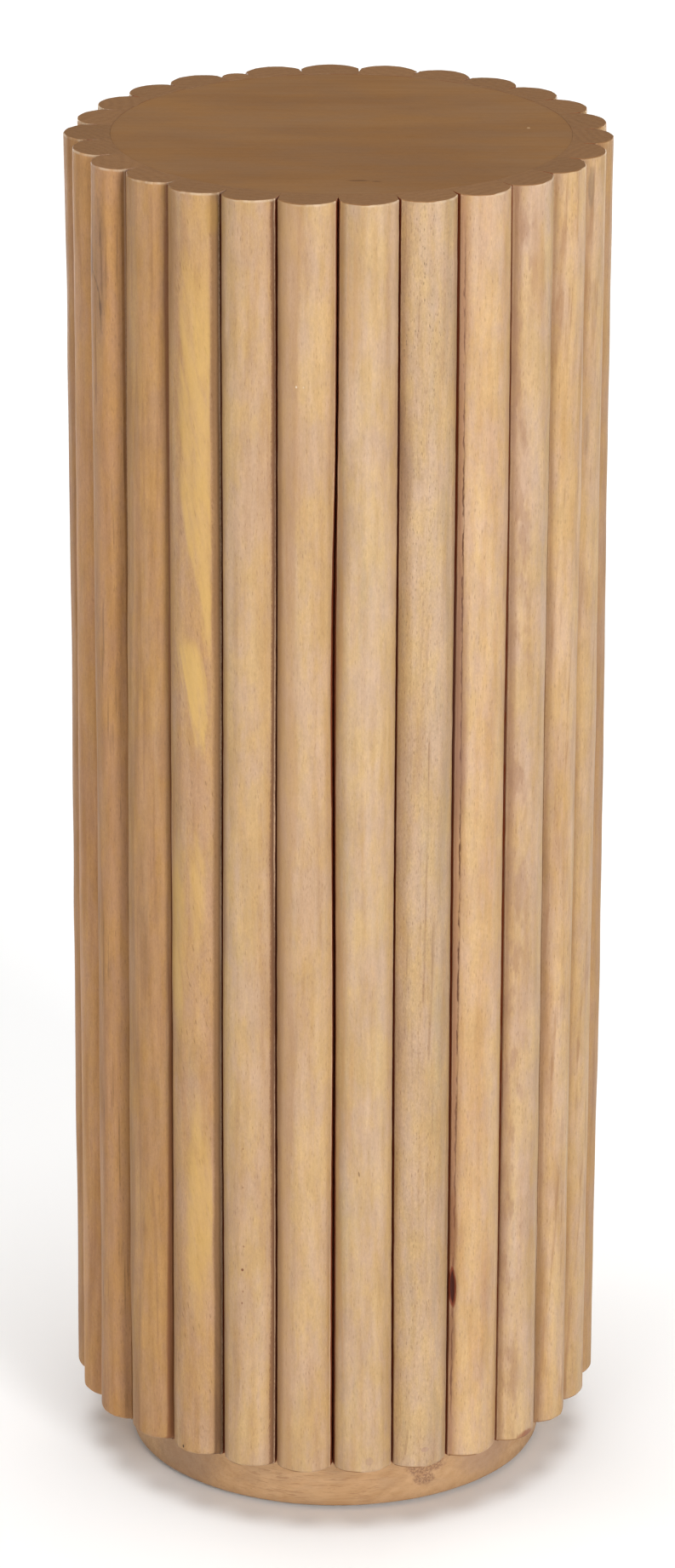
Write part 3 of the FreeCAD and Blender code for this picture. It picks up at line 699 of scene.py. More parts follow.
def look_knotty(m, colour, local, x, y, z, depth, dark):
    rag = m.noise(m.place(local, (1.3, 0.2, 0.7), scale=(1, 1, 0.16)), 300.0, 3.0, 0.6)
    cloud = m.math("MAXIMUM", spot(m, x, z, -6.5, 708, 4.0, 11, 0.7, rag, 0.8), m.mul(spot(m, x, z, 4.5, 700, 4.0, 42, 0.9, rag, 0.9), 0.7))
    colour = m.mix(m.mul(cloud, 0.50), colour, lin(124, 100, 88, LIGHT))
    wind = m.add(x, m.mul(m.math("SUBTRACT", rag, 0.5), 0.006))
    line = m.thread(wind, z, ((668, 6.4), (676, 6.0), (684, 5.6), (692, 4.1), (698, 1.8), (703, -3.0), (707, -6.0), (714, -7.5)), 0.7, 1.0)
    line = m.mul(line, m.curve(m.mul(z, 1.0 / 0.76), ((0.875, 0.0), (0.888, 0.5), (0.900, 1.0), (0.918, 0.8), (0.930, 0.6), (0.942, 0.0))))
    line = m.math("MAXIMUM", line, m.mul(m.thread(wind, z, ((716, 5.6), (724, 5.2), (732, 4.0), (744, 3.0)), 0.8, 0.9), 0.4))
    colour = m.mix(m.mul(line, m.step(rag, 0.38, 0.60, 0.05, 0.75)), colour, lin(98, 74, 60, LIGHT))
    vein = m.noise(m.place(local, (0.3, 2.2, 0.7), scale=(1, 1, 0.04)), 420.0, 2.0, 0.5)
    colour = m.mix(m.mul(m.step(vein, 0.60, 0.70), 0.40), colour, lin(120, 84, 58, LIGHT))
    dark.append(line)
    return colour


def look_flame(m, colour, local, x, y, z, depth, dark):
    lean = m.place(local, turn=(0, 0.22, 0))
    slant = m.noise(m.place(lean, (0.4, 1.1, 0.2), scale=(1, 1, 0.07)), 330.0, 3.0, 0.6)
    cloud = m.noise(m.place(lean, (0.9, 0.1, 0.2), scale=(1, 1, 0.25)), 90.0, 3.0, 0.6)
    dist, cell = m.cells(m.place(lean, (0.2, 0.9, 0.5), scale=(1, 1, 0.17)), 600.0)
    tick = m.mul(m.step(dist, 0.26, 0.12), m.step(m.split(cell)[0], 0.45, 0.75))
    colour = m.mix(m.mul(tick, 0.44), colour, lin(132, 94, 56, LIGHT))
    colour = m.vary(colour, m.noise(m.place(lean, (0.4, 0.1, 0.2), scale=(1, 1, 0.3)), 1300.0, 2.0, 0.7), 0.16)
    # two yellow flames that come down to the right, and paler clouds below
    fray = m.add(x, m.mul(m.math("SUBTRACT", slant, 0.5), 0.009))
    up = m.mul(z, 1.0 / 0.76)
    first = m.border(fray, z, ((505, 14.5), (514, 12.3), (550, 7.1), (572, 2.1), (606, -0.8), (670, -1.8), (720, 0.5), (757, 3.0)), 2.6)
    first = m.mul(first, m.curve(up, ((0.65, 0.0), (0.69, 1.0), (0.90, 1.0), (0.96, 0.45), (1.0, 0.15))))
    second = m.border(fray, z, ((450, 10.0), (458, 8.0), (472, 5.2), (492, 0.5), (505, -2.6), (516, -3.2)), 1.5)
    second = m.mul(second, m.step(m.border(fray, z, ((450, 11.0), (472, 12.0), (494, 12.2), (505, 10.0), (516, 7.2)), 1.8), 1.0, 0.0))
    second = m.mul(second, m.curve(up, ((0.590, 0.0), (0.603, 1.0), (0.668, 0.9), (0.682, 0.0))))
    third = spot(m, x, z, 8.0, 184, 6.5, 62, 0.8, cloud, 0.9)
    fourth = m.mul(spot(m, x, z, -5.0, 345, 6.0, 50, 0.9, cloud, 0.9), 0.55)
    fifth = m.mul(spot(m, x, z, 8.0, 372, 4.0, 30, 0.9, cloud, 0.9), 0.50)
    yellow = m.math("MAXIMUM", m.mul(first, 0.58), m.mul(second, 0.80))
    yellow = m.math("MAXIMUM", yellow, m.math("MAXIMUM", m.mul(third, 0.55), m.math("MAXIMUM", fourth, fifth)))
    yellow = m.mul(yellow, m.step(slant, 0.30, 0.60, 0.45, 0.95))
    yellow = m.mul(yellow, m.step(depth, 0.60, 0.50))
    colour = m.mix(yellow, colour, lin(231, 189, 110, LIGHT))
    # olive and brown streaks near the upper end; painted shadow on the right flank, darker towards the foot
    olive = spot(m, x, z, 14.8, 748, 2.6, 10, 0.6, slant, 0.5)
    colour = m.mix(m.mul(olive, 0.35), colour, lin(184, 142, 66, LIGHT))
    left = spot(m, x, z, -9.0, 722, 5.0, 42, 0.9, slant, 0.9)
    colour = m.mix(m.mul(left, 0.50), colour, lin(172, 126, 70, LIGHT))
    shade = m.mul(m.mul(m.step(depth, 0.56, 0.66), m.step(depth, 0.98, 0.93)), m.step(x, 0.004, 0.006))
    shade = m.mul(shade, m.curve(up, ((0.05, 0.70), (0.14, 0.55), (0.26, 0.25), (0.60, 0.10))))
    colour = m.mix(m.mul(shade, m.step(slant, 0.30, 0.65, 0.6, 1.0)), colour, lin(98, 66, 46, LIGHT))
    hole = spot(m, x, z, -2.2, 39.8, 0.5, 1.0, 0.5)
    colour = m.mix(m.mul(hole, 0.9), colour, lin(72, 46, 30, LIGHT))
    dark += [m.mul(tick, 0.4), hole]
    return colour


def look_wedge(m, colour, local, x, y, z, depth, dark):
    rag = m.noise(m.place(local, (0.7, 1.4, 0.2), scale=(1, 1, 0.05)), 240.0, 3.0, 0.6)
    # painted shadow strip along the right edge, cast by the next slat, wider towards the foot
    start = m.curve(m.mul(z, 1.0 / 0.76), ((0.05, 0.64), (0.25, 0.70), (0.55, 0.84), (1.0, 0.88)))
    over = m.add(m.math("SUBTRACT", depth, start), m.mul(m.math("SUBTRACT", rag, 0.5), 0.20))
    painted_shadow_strip = m.mul(m.step(over, -0.05, 0.07), m.step(x, 0.003, 0.005))
    colour = m.mix(m.mul(painted_shadow_strip, 0.75), colour, lin(150, 92, 56, LIGHT))
    # dull stripes along the face
    vein = m.noise(m.place(local, (1.3, 0.2, 0.7), scale=(1, 1, 0.03)), 300.0, 2.0, 0.5)
    return m.mix(m.mul(m.step(vein, 0.56, 0.68), 0.30), colour, lin(150, 106, 78, LIGHT))


def look_dots(m, colour, local, x, y, z, depth, dark):
    dot = None
    for at_x, at_z, size, part in ((1.8, 228, 0.45, 0.5), (1.6, 205, 0.40, 0.5), (2.1, 170, 0.55, 0.6), (1.4, 156, 0.70, 1.0),
                                   (1.7, 143, 0.50, 0.5), (1.2, 136, 0.50, 0.7), (1.5, 96, 0.35, 0.5)):
        one = m.mul(spot(m, x, z, at_x, at_z, size, size * 1.2, 0.6), part)
        dot = one if dot is None else m.math("MAXIMUM", dot, one)
    colour = m.mix(m.mul(dot, 0.85), colour, lin(128, 66, 46, LIGHT))
    dark.append(dot)
    return colour


def look_speck(m, colour, local, x, y, z, depth, dark):
    rag = m.noise(m.place(local, (0.5, 1.7, 0.3), scale=(1, 1, 0.06)), 200.0, 3.0, 0.6)
    edge = m.add(x, m.mul(m.math("SUBTRACT", rag, 0.5), 0.010))
    zone = m.border(edge, z, ((36, -6.5), (180, -5.0), (330, -4.0), (480, -4.5), (620, -2.0), (757, -1.0)), 2.4)
    colour = m.mix(m.step(zone, 1.0, 0.0, 0.0, 0.42), colour, lin(194, 148, 106, LIGHT))
    dot = m.math("MAXIMUM", spot(m, x, z, -3.8, 662, 0.5, 0.6, 0.4), m.mul(spot(m, x, z, 0.0, 662, 0.4, 0.5, 0.5), 0.6))
    return m.mix(m.mul(dot, 0.75), colour, lin(242, 222, 198, LIGHT))


def look_plug_low(m, colour, local, x, y, z, depth, dark):
    rag = m.noise(m.place(local, (1.9, 0.4, 0.6)), 900.0, 2.0, 0.5)
    plug = spot(m, x, z, 3.8, 43.5, 2.3, 2.6, 0.45, rag, 0.5)
    colour = m.mix(m.mul(plug, 0.40), colour, lin(176, 140, 126, LIGHT))
    fleck = spot(m, x, z, -3.0, 217, 0.45, 1.6, 0.5, rag, 0.5, 0.4)
    colour = m.mix(m.mul(fleck, 0.6), colour, lin(120, 84, 58, LIGHT))
    haze = m.noise(m.place(local, (2.9, 0.4, 0.6), scale=(1, 1, 0.05)), 190.0, 2.0, 0.5)
    colour = m.mix(m.mul(m.step(haze, 0.50, 0.68), m.step(x, 0.002, -0.012, 0.0, 0.5)), colour, lin(206, 158, 104, LIGHT))
    dark.append(fleck)
    return colour


def look_plug_high(m, colour, local, x, y, z, depth, dark):
    rag = m.noise(m.place(local, (0.9, 1.4, 0.6)), 900.0, 2.0, 0.5)
    plug = spot(m, x, z, 1.0, 47.5, 2.1, 1.6, 0.45, rag, 0.5)
    colour = m.mix(m.mul(plug, 0.50), colour, lin(176, 136, 126, LIGHT))
    side = spot(m, x, z, -14.0, 620, 4.0, 34, 0.8, rag, 0.4)
    colour = m.mix(m.mul(side, 0.35), colour, lin(140, 102, 86, LIGHT))
    scratch = spot(m, x, z, -9.0, 52, 0.6, 9.0, 0.6, None, 0.0, -1.0)
    colour = m.mix(m.mul(scratch, 0.28), colour, lin(150, 112, 82, LIGHT))
    fibre = m.noise(m.place(local, (0.4, 1.9, 0.6), scale=(1, 1, 0.035)), 520.0, 3.0, 0.6)
    wind = m.add(x, m.mul(m.math("SUBTRACT", fibre, 0.5), 0.003))
    vein = m.math("MAXIMUM", m.thread(wind, z, ((310, -2.8), (345, -2.2), (372, -1.9), (402, -1.6), (430, -1.2), (470, -0.6)), 0.7, 0.8),
                  m.thread(wind, z, ((280, 0.8), (300, 1.4), (322, 2.2), (340, 2.6), (365, 3.0)), 0.7, 0.8))
    colour = m.mix(m.mul(vein, m.step(fibre, 0.35, 0.60, 0.2, 0.6)), colour, lin(150, 108, 74, LIGHT))
    colour = m.mix(m.mul(m.step(fibre, 0.56, 0.70), 0.30), colour, lin(164, 126, 92, LIGHT))
    cool = m.noise(m.place(local, (0.9, 2.4, 0.1), scale=(1, 1, 0.12)), 150.0, 3.0, 0.6)
    dash = flecks(m, local, 5, 0.0010, 0.45)
    where = m.mul(m.curve(m.mul(z, 1.0 / 0.76), ((0.10, 0.25), (0.50, 0.35), (0.72, 0.6), (0.86, 1.0), (0.96, 1.0), (1.0, 0.6))), m.step(cool, 0.38, 0.60))
    colour = m.mix(m.mul(m.mul(dash, where), 0.70), colour, lin(130, 106, 78, LIGHT))
    colour = m.vary(colour, m.noise(m.place(local, (1.4, 0.1, 0.2), scale=(1, 1, 0.5)), 1100.0, 2.0, 0.7), 0.20)
    dark.append(m.mul(dash, where))
    colour = m.mix(m.mul(m.mul(m.step(cool, 0.44, 0.62), m.step(x, -0.004, 0.008)), 0.40), colour, lin(186, 160, 130, LIGHT))
    return colour


def look_bark(m, colour, local, x, y, z, depth, dark):
    rag = m.noise(m.place(local, (2.2, 0.3, 0.4), scale=(1, 1, 0.2)), 420.0, 3.0, 0.6)
    wind = m.add(x, m.mul(m.math("SUBTRACT", rag, 0.5), 0.0022))
    crack = m.thread(wind, z, ((40, -13.6), (94, -13.6), (170, -13.3), (248, -13.0), (398, -13.0), (542, -13.1), (682, -13.4), (757, -13.8)), 0.26, 0.7)
    crack = m.mul(crack, m.step(rag, 0.40, 0.58, 0.25, 1.0))
    colour = m.mix(m.mul(crack, 0.90), colour, lin(92, 48, 30, LIGHT))
    lip = m.mul(m.mul(m.step(depth, 0.66, 0.76), m.step(depth, 1.03, 0.98)), m.step(x, -0.004, -0.006))
    colour = m.mix(m.mul(lip, 0.28), colour, lin(206, 158, 128, LIGHT))
    trail = spot(m, x, z, -13.6, 172, 1.3, 26, 0.6, rag, 0.9)
    colour = m.mix(m.mul(trail, 0.40), colour, lin(150, 92, 58, LIGHT))
    trail = spot(m, x, z, -13.6, 108, 1.2, 20, 0.6, rag, 0.9)
    colour = m.mix(m.mul(trail, 0.35), colour, lin(140, 92, 62, LIGHT))
    stain = spot(m, x, z, -14.0, 482, 3.4, 66, 0.8, rag, 0.5)
    colour = m.mix(m.mul(stain, 0.45), colour, lin(146, 106, 92, LIGHT))
    bark = spot(m, x, z, -13.4, 140, 1.6, 12.0, 0.22, rag, 0.6, 0.10)
    colour = m.mix(m.mul(bark, 0.95), colour, lin(132, 58, 34, LIGHT))
    core = spot(m, x, z, -13.3, 140, 0.9, 9.5, 0.25, rag, 0.7, 0.10)
    colour = m.mix(m.mul(core, 0.92), colour, lin(64, 22, 14, LIGHT))
    dark += [m.mul(bark, 0.6), core, crack]
    return colour


def look_red_foot(m, colour, local, x, y, z, depth, dark):
    rag = m.noise(m.place(local, (0.2, 1.3, 0.4), scale=(1, 1, 0.3)), 300.0, 3.0, 0.6)
    blot = m.noise(m.place(local, (1.2, 0.3, 0.4), scale=(1, 1, 0.30)), 150.0, 3.0, 0.6)
    blot = m.mul(m.step(blot, 0.46, 0.64), m.step(x, 0.0, -0.010))
    colour = m.mix(m.mul(blot, 0.50), colour, lin(168, 126, 98, LIGHT))
    tan = spot(m, x, z, -3.0, 715, 4.0, 26, 0.9, rag, 0.8, 0.3)
    colour = m.mix(m.mul(tan, 0.40), colour, lin(196, 148, 102, LIGHT))
    red = spot(m, x, z, 1.5, 38.5, 6.0, 2.6, 0.7, rag, 0.9)
    return m.mix(m.mul(red, 0.75), colour, lin(150, 84, 62, LIGHT))


def look_streaks(m, colour, local, x, y, z, depth, dark):
    lean = m.place(local, turn=(0, -0.05, 0))
    streak = m.noise(m.place(lean, (1.2, 0.3, 1.4), scale=(1, 1, 0.05)), 260.0, 3.0, 0.6)
    rag = m.noise(m.place(local, (0.2, 2.3, 0.4), scale=(1, 1, 0.3)), 120.0, 3.0, 0.6)
    colour = m.mix(m.mul(m.step(streak, 0.54, 0.66), m.step(rag, 0.35, 0.60, 0.15, 0.50)), colour, lin(172, 124, 84, LIGHT))
    blot = m.mul(m.step(rag, 0.50, 0.66), m.step(x, -0.002, -0.012))
    return m.mix(m.mul(blot, 0.26), colour, lin(172, 132, 98, LIGHT))


def look_cool_end(m, colour, local, x, y, z, depth, dark):
    colour = look_streaks(m, colour, local, x, y, z, depth, dark)
    rag = m.noise(m.place(local, (0.9, 2.1, 0.4), scale=(1, 1, 0.2)), 260.0, 3.0, 0.6)
    cool = m.math("MAXIMUM", spot(m, x, z, -11.5, 744, 1.6, 10, 0.7, rag, 0.8), m.mul(spot(m, x, z, -11.4, 608, 1.3, 12, 0.8, rag, 0.9), 0.6))
    return m.mix(m.mul(cool, 0.45), colour, lin(128, 104, 88, LIGHT))


def top_wood(name):
    """The top: quiet grain from left to right; its dark brown is partly stain and partly painted shade of the level
    top.
    """
    m = Finish(name, 0.6, 0.06)
    bend = m.noise(m.place(m.object, (0.4, 0.2, 0.1), scale=(2.5, 9, 9)), 1.0, 2.0, colour=True)
    grain = m.shift(m.object, bend, (0.0, 0.020, 0.0))
    ring = m.rings(m.place(grain, (0, 0.05, -0.62), (0.03, 0, 0.02)), 0.314 / 0.014, 2.5, 2.0, 1.2, "X")
    soft = m.noise(m.place(grain, (0.1, 0.7, 0.3), scale=(0.05, 1, 1)), 190.0, 3.0, 0.6)
    broad = m.noise(m.place(m.object, (0.9, 0.7, 0.3), scale=(0.35, 1, 1)), 22.0, 2.0, 0.5)
    fibre = m.noise(m.place(grain, (0.3, 0.7, 0.3), scale=(0.05, 1, 1)), 1300.0, 2.0, 0.6)
    mix = m.add(m.mul(m.step(soft, 0.30, 0.74), 0.09), m.mul(m.step(broad, 0.34, 0.68), 0.70))
    mix = m.math("SUBTRACT", m.add(mix, m.mul(ring, 0.03)), 0.03, clamp=True)
    # painted shade: the dark brown keeps part of the shade that falls on the level top
    colour = m.mix(mix, lin(149, 109, 70, TOP_LIGHT), lin(137, 98, 62, TOP_LIGHT))
    hue = m.noise(m.place(m.object, (0.3, 1.7, 0.3), scale=(0.5, 1, 1)), 34.0, 3.0, 0.6)
    colour = m.mix(1.0, colour, m.mix(m.step(hue, 0.34, 0.66), (1.03, 1.0, 0.90, 1), (0.97, 1.0, 1.08, 1)), "MULTIPLY")
    colour = m.vary(colour, m.noise(m.place(grain, (0.1, 0.2, 0.3), scale=(0.30, 1, 1)), 1100.0, 2.0, 0.7), 0.12)
    colour = m.mix(1.0, colour, m.curve(fibre, ((0.25, 0.94), (0.5, 0.99), (0.75, 1.0))), "MULTIPLY")
    dist, cell = m.cells(m.place(grain, (0.2, 0.4, 0.1), scale=(0.14, 1, 1)), 560.0)
    pore = m.mul(m.step(dist, 0.28, 0.12), m.step(m.split(cell)[0], 0.62, 0.85))
    colour = m.mix(m.mul(pore, 0.11), colour, lin(84, 56, 34, TOP_LIGHT))
    # a short dark mark near the front, and one pale speck
    x, y, z = m.split(m.object)
    rag = m.noise(m.place(m.object, scale=(0.3, 1, 1)), 420.0, 3.0, 0.6)
    mark = m.math("MAXIMUM", spot(m, x, y, 9.0, -96.6, 6.0, 0.9, 0.6, rag, 1.0), spot(m, x, y, 18.6, -98.0, 2.6, 0.7, 0.6, rag, 0.8))
    colour = m.mix(m.mul(mark, 0.65), colour, lin(80, 50, 32, TOP_LIGHT))
    speck = spot(m, x, y, 100.1, 10.8, 0.9, 1.4, 0.4)
    colour = m.mix(m.mul(speck, 0.6), colour, lin(206, 172, 130, TOP_LIGHT))
    # painted shade: a darker rim along the seam with the slat ends
    n = m.tree.nodes.new("ShaderNodeVectorMath")
    n.operation = "LENGTH"
    m.put(n.inputs[0], m.place(m.object, scale=(1, 1, 0)))
    seam_shade = m.step(n.outputs["Value"], 0.1205, 0.1230)
    colour = m.mix(m.mul(seam_shade, 0.06), colour, lin(104, 72, 44, TOP_LIGHT))
    m.set("Base Color", colour)
    m.bump(m.math("SUBTRACT", m.add(m.mul(fibre, 0.5), m.mul(soft, 0.5)), m.mul(pore, 0.5)), 0.14, 0.0003)
    m.set("Roughness", m.step(soft, 0.25, 0.75, 0.44, 0.58))
    return m.mat


def plinth_wood(name):
    """A turned foot from one plank: the grain runs level, so it is wavy where it meets the round side."""
    m = Finish(name, 0.56, 0.22)
    bend = m.noise(m.place(m.object, (0.4, 0.2, 0.1), scale=(7, 7, 10)), 1.0, 2.0, colour=True)
    grain = m.shift(m.object, bend, (0.0, 0.014, 0.014))
    ring = m.rings(m.place(grain, (0, 0.02, 0.05), (0.04, 0.05, 0.35)), 0.314 / 0.0065, 3.0, 2.0, 1.4, "X")
    soft = m.noise(m.place(grain, (0.1, 0.7, 0.3), (0, 0, 0.35), scale=(0.08, 1, 1)), 300.0, 3.0, 0.6)
    broad = m.noise(m.place(m.object, (0.9, 0.1, 0.3)), 24.0, 2.0, 0.5)
    fibre = m.noise(m.place(grain, (0.3, 0.7, 0.3), (0, 0, 0.35), scale=(0.06, 1, 1)), 1300.0, 2.0, 0.6)
    mix = m.add(m.mul(m.step(soft, 0.30, 0.72), 0.40), m.mul(ring, 0.18))
    mix = m.math("SUBTRACT", m.add(mix, m.mul(m.step(broad, 0.36, 0.66), 0.3)), 0.12, clamp=True)
    colour = m.mix(mix, lin(224, 180, 133, LIGHT), lin(197, 150, 101, LIGHT))
    cast = m.noise(m.place(m.object, (1.9, 0.1, 0.3), scale=(1, 1, 2)), 32.0, 3.0, 0.6)
    colour = m.mix(m.mul(m.step(cast, 0.52, 0.70), 0.28), colour, lin(182, 148, 118, LIGHT))
    colour = m.mix(1.0, colour, m.curve(fibre, ((0.25, 0.86), (0.5, 0.985), (0.75, 1.0))), "MULTIPLY")
    x, y, z = m.split(m.object)
    rag = m.noise(m.place(m.object, (0.2, 0.1, 0.3)), 260.0, 3.0, 0.65)
    ang = m.math("ARCTAN2", x, m.mul(y, -1.0))
    arc = m.mul(ang, 0.116)
    patch = m.math("MAXIMUM", spot(m, arc, z, 53.0, 21.5, 12.0, 5.0, 0.6, rag, 1.1), spot(m, arc, z, 51.5, 14.0, 6.0, 3.8, 0.6, rag, 1.2))
    dull = m.mul(spot(m, arc, z, -95.0, 16.0, 24.0, 16.0, 0.9, rag, 0.9), 0.45)
    colour = m.mix(dull, colour, lin(152, 122, 104, LIGHT))
    dull = m.mul(spot(m, arc, z, 96.0, 19.0, 20.0, 12.0, 0.9, rag, 0.9), 0.50)
    colour = m.mix(dull, colour, lin(178, 144, 124, LIGHT))
    wavy = m.noise(m.place(grain, (0.6, 0.3, 0.9), scale=(0.12, 0.12, 1)), 820.0, 3.0, 0.6)
    wavy = m.mul(m.step(wavy, 0.54, 0.64), spot(m, arc, z, -14.0, 17.0, 46.0, 15.0, 0.9, rag, 0.8))
    colour = m.mix(m.mul(wavy, 0.40), colour, lin(158, 110, 74, LIGHT))
    grit = m.noise(m.place(m.object, (0.7, 0.1, 0.3)), 900.0, 2.0, 0.6)
    rough = m.mul(patch, m.step(grit, 0.38, 0.58))
    colour = m.mix(m.mul(patch, 0.25), colour, lin(176, 128, 104, LIGHT))
    colour = m.mix(m.mul(rough, 0.55), colour, lin(126, 84, 68, LIGHT))
    low = m.step(z, 0.0085, 0.0025)
    colour = m.mix(m.mul(low, 0.25), colour, lin(150, 106, 72, LIGHT))
    # painted shade under the slat feet, darker towards the top of the plinth
    high = m.step(z, 0.026, 0.036)
    colour = m.mix(m.mul(high, 0.2), colour, lin(130, 88, 60, LIGHT))
    m.set("Base Color", colour)
    m.bump(m.math("SUBTRACT", m.add(m.mul(fibre, 0.5), m.mul(soft, 0.6)), m.mul(rough, 0.9)), 0.35, 0.0006)
    m.set("Roughness", m.step(soft, 0.25, 0.75, 0.48, 0.64))
    return m.mat


def plywood(name):
    """Birch plywood: figured faces, and layers on the edge."""
    m = Finish(name, 0.6, 0.3)
    x, y, z = m.split(m.object)
    grain = m.shift(m.object, m.noise(m.place(m.object, scale=(3, 10, 10)), 1.0, 2.0, colour=True), (0, 0.012, 0))
    figure = m.noise(m.place(grain, scale=(0.06, 1, 1)), 180.0, 3.0, 0.6)
    face = m.mix(m.step(figure, 0.3, 0.72), lin(226, 200, 164), lin(200, 168, 126))
    layer = m.math("FRACT", m.mul(z, 1.0 / 0.0030))
    ply = m.step(m.math("ABSOLUTE", m.math("SUBTRACT", layer, 0.5)), 0.22, 0.28)
    edge = m.mix(ply, lin(214, 184, 144), lin(158, 118, 80))
    edge = m.mix(m.mul(m.step(m.noise(m.place(m.object, scale=(1, 1, 0.4)), 700.0), 0.4, 0.7), 0.3), edge, lin(140, 104, 72))
    level = m.step(m.math("ABSOLUTE", m.normal_z()), 0.5, 0.8)
    m.set("Base Color", m.mix(level, edge, face))
    return m.mat


def post_wood(name):
    """Plain softwood posts."""
    m = Finish(name, 0.62, 0.3)
    grain = m.shift(m.object, m.noise(m.place(m.object, scale=(9, 9, 1.5)), 1.0, 2.0, colour=True), (0.01, 0.01, 0))
    ring = m.rings(m.place(grain, (0.06, 0.03, 0), (0.02, 0.03, 0)), 0.314 / 0.004, 1.5, 2.0, 1.2)
    soft = m.noise(m.place(grain, scale=(1, 1, 0.04)), 380.0, 3.0, 0.6)
    colour = m.mix(m.add(m.mul(ring, 0.55), m.mul(soft, 0.3)), lin(232, 206, 164), lin(200, 158, 106))
    m.set("Base Color", colour)
    return m.mat


def zinc(name):
    """Zinc plated steel, a little mottled."""
    m = Finish(name, 0.36, 0.5)
    cloud = m.noise(m.object, 900.0, 3.0, 0.6)
    m.set("Base Color", m.mix(m.step(cloud, 0.3, 0.7), lin(206, 206, 202), lin(168, 166, 158)))
    m.set("Metallic", 1.0)
    return m.mat


def felt(name):
    """Matted grey-brown felt."""
    m = Finish(name, 0.95, 0.15)
    fuzz = m.noise(m.object, 1400.0, 3.0, 0.7)
    clump = m.noise(m.object, 240.0, 2.0, 0.5)
    m.set("Base Color", m.mix(m.add(m.mul(fuzz, 0.7), m.mul(clump, 0.3)), lin(70, 62, 56), lin(132, 120, 108)))
    m.set("Sheen Weight", 0.35)
    m.bump(fuzz, 0.5, 0.0004)
    return m.mat


# ---------------------------------------------------------------- the slats
DEFAULT = ((0.0, 0.16), (0.5, 0.12), (1.0, 0.16))


def arris_depth(side, joint):
    """Mean depth of a slat's arris under its crest on that side, as a share of 9.3 mm."""
    z = np.linspace(60, 740, 18)
    half = 16.25 + side * np.mean(joint[0](z)) * 136.4 / 133.0 - 0.5 * np.mean(joint[1](z))
    return float((RISE * min(half, 15.3) + 0.2 * max(half - 15.3, 0.0)) / 9.3)


LOOKS = {
    4: dict(tone="clay", grey=0.25, shade=0.95),
    5: dict(tone="clay", grey=0.10, shade=0.90),
    6: dict(tone="clay", grey=0.15, shade=1.08),
    7: dict(tone="clay", grey=0.12, shade=0.93, pores=0.7, extras=look_knotty),
    8: dict(tone="clay", grey=0.15, shade=0.895, tint=(1.0, 1.05, 1.04), flank=(134, 82, 54), extras=look_wedge),
    # band: painted shadow along the right flank, cast by the next slat
    9: dict(tone="tan", grey=0.30, shade=0.96, extras=look_flame, left=((0.0, 0.3), (0.6, 0.3), (1.0, 0.2)),
            painted_shadow_band=(0.62, 0.09, (150, 110, 70), 0.80)),
    10: dict(tone="pale", grey=0.30, shade=0.965, extras=look_dots, left=((0.0, 0.45), (0.5, 0.5), (1.0, 0.35)),
             painted_shadow_band=(0.74, 0.06, (136, 92, 64), 0.85)),
    11: dict(tone="pale", grey=0.30, shade=0.975, extras=look_speck, left=((0.0, 0.4), (0.5, 0.45), (1.0, 0.3)),
             right=((0.0, 0.1), (0.6, 0.12), (1.0, 0.15))),
    12: dict(tone="pale", grey=0.55, shade=0.985, tint=(1.0, 1.03, 1.08), extras=look_plug_low, left=((0.0, 0.35), (0.6, 0.3), (1.0, 0.3))),
    13: dict(tone="pale", grey=0.60, shade=0.975, tint=(1.0, 1.03, 1.08), pores=0.75, extras=look_plug_high, left=((0.0, 0.35), (0.6, 0.42), (1.0, 0.3))),
    14: dict(tone="peach", grey=0.15, shade=0.955, tint=(1.0, 1.03, 1.08), pores=0.6, extras=look_bark,
             left=((0.0, 0.5), (0.25, 0.75), (0.6, 0.7), (1.0, 0.45))),
    15: dict(tone="pale", grey=0.35, shade=1.01, tint=(1.0, 1.03, 1.12), flank=(146, 104, 78), extras=look_red_foot, left=((0.0, 0.55), (0.5, 0.55), (1.0, 0.6))),
    16: dict(tone="honey", grey=0.25, shade=1.02, tint=(1.0, 1.02, 1.06), pores=0.7, extras=look_streaks, left=((0.0, 0.55), (1.0, 0.5))),
    17: dict(tone="pale", grey=0.35, shade=1.02, pores=0.6, extras=look_cool_end, left=((0.0, 0.4), (1.0, 0.4))),
    18: dict(tone="tan", grey=0.08, shade=0.93),
}
SHAPES = {
    5: dict(proud=knots([(36, 1.7), (100, 1.7), (200, 1.8), (300, 1.3), (450, 1.5), (600, 2.0), (700, 2.5), (760, 3.2)])),
    6: dict(proud=knots([(36, 1.3), (400, 1.2), (760, 1.2)]), facet=0.25),
    7: dict(proud=knots([(36, 1.3), (300, 1.3), (760, 1.6)])),
    8: dict(proud=knots([(36, 0.3), (200, 0.9), (420, 0.8), (560, 0.0), (680, -0.8), (760, -0.9)]), facet=0.6, foot_round=3.4),
    9: dict(foot_round=3.0, facet=0.4, dents=((-0.14, 40.5, 0.05, 2.0, 0.5),)),
    10: dict(facet=0.3),
    11: dict(facet=0.35),
    12: dict(facet=0.45, dents=((0.25, 43.5, 0.16, 2.6, 0.12),)),
    13: dict(facet=0.4, dents=((0.06, 47.5, 0.14, 1.8, 0.15),)),
    14: dict(facet=0.35, dents=((-0.92, 141, 0.15, 12.0, 0.8),)),
    15: dict(facet=0.5),
    16: dict(facet=0.55),
    18: dict(proud=knots([(36, 1.0), (100, 1.0), (180, 1.2), (240, 1.7), (340, 1.5), (430, 1.1), (520, 0.5), (600, 0.2), (760, 0.2)])),
}
BACK_TONES = ("pale", "honey", "pink", "peach", "pale", "tan", "honey", "pink", "orange", "pale")

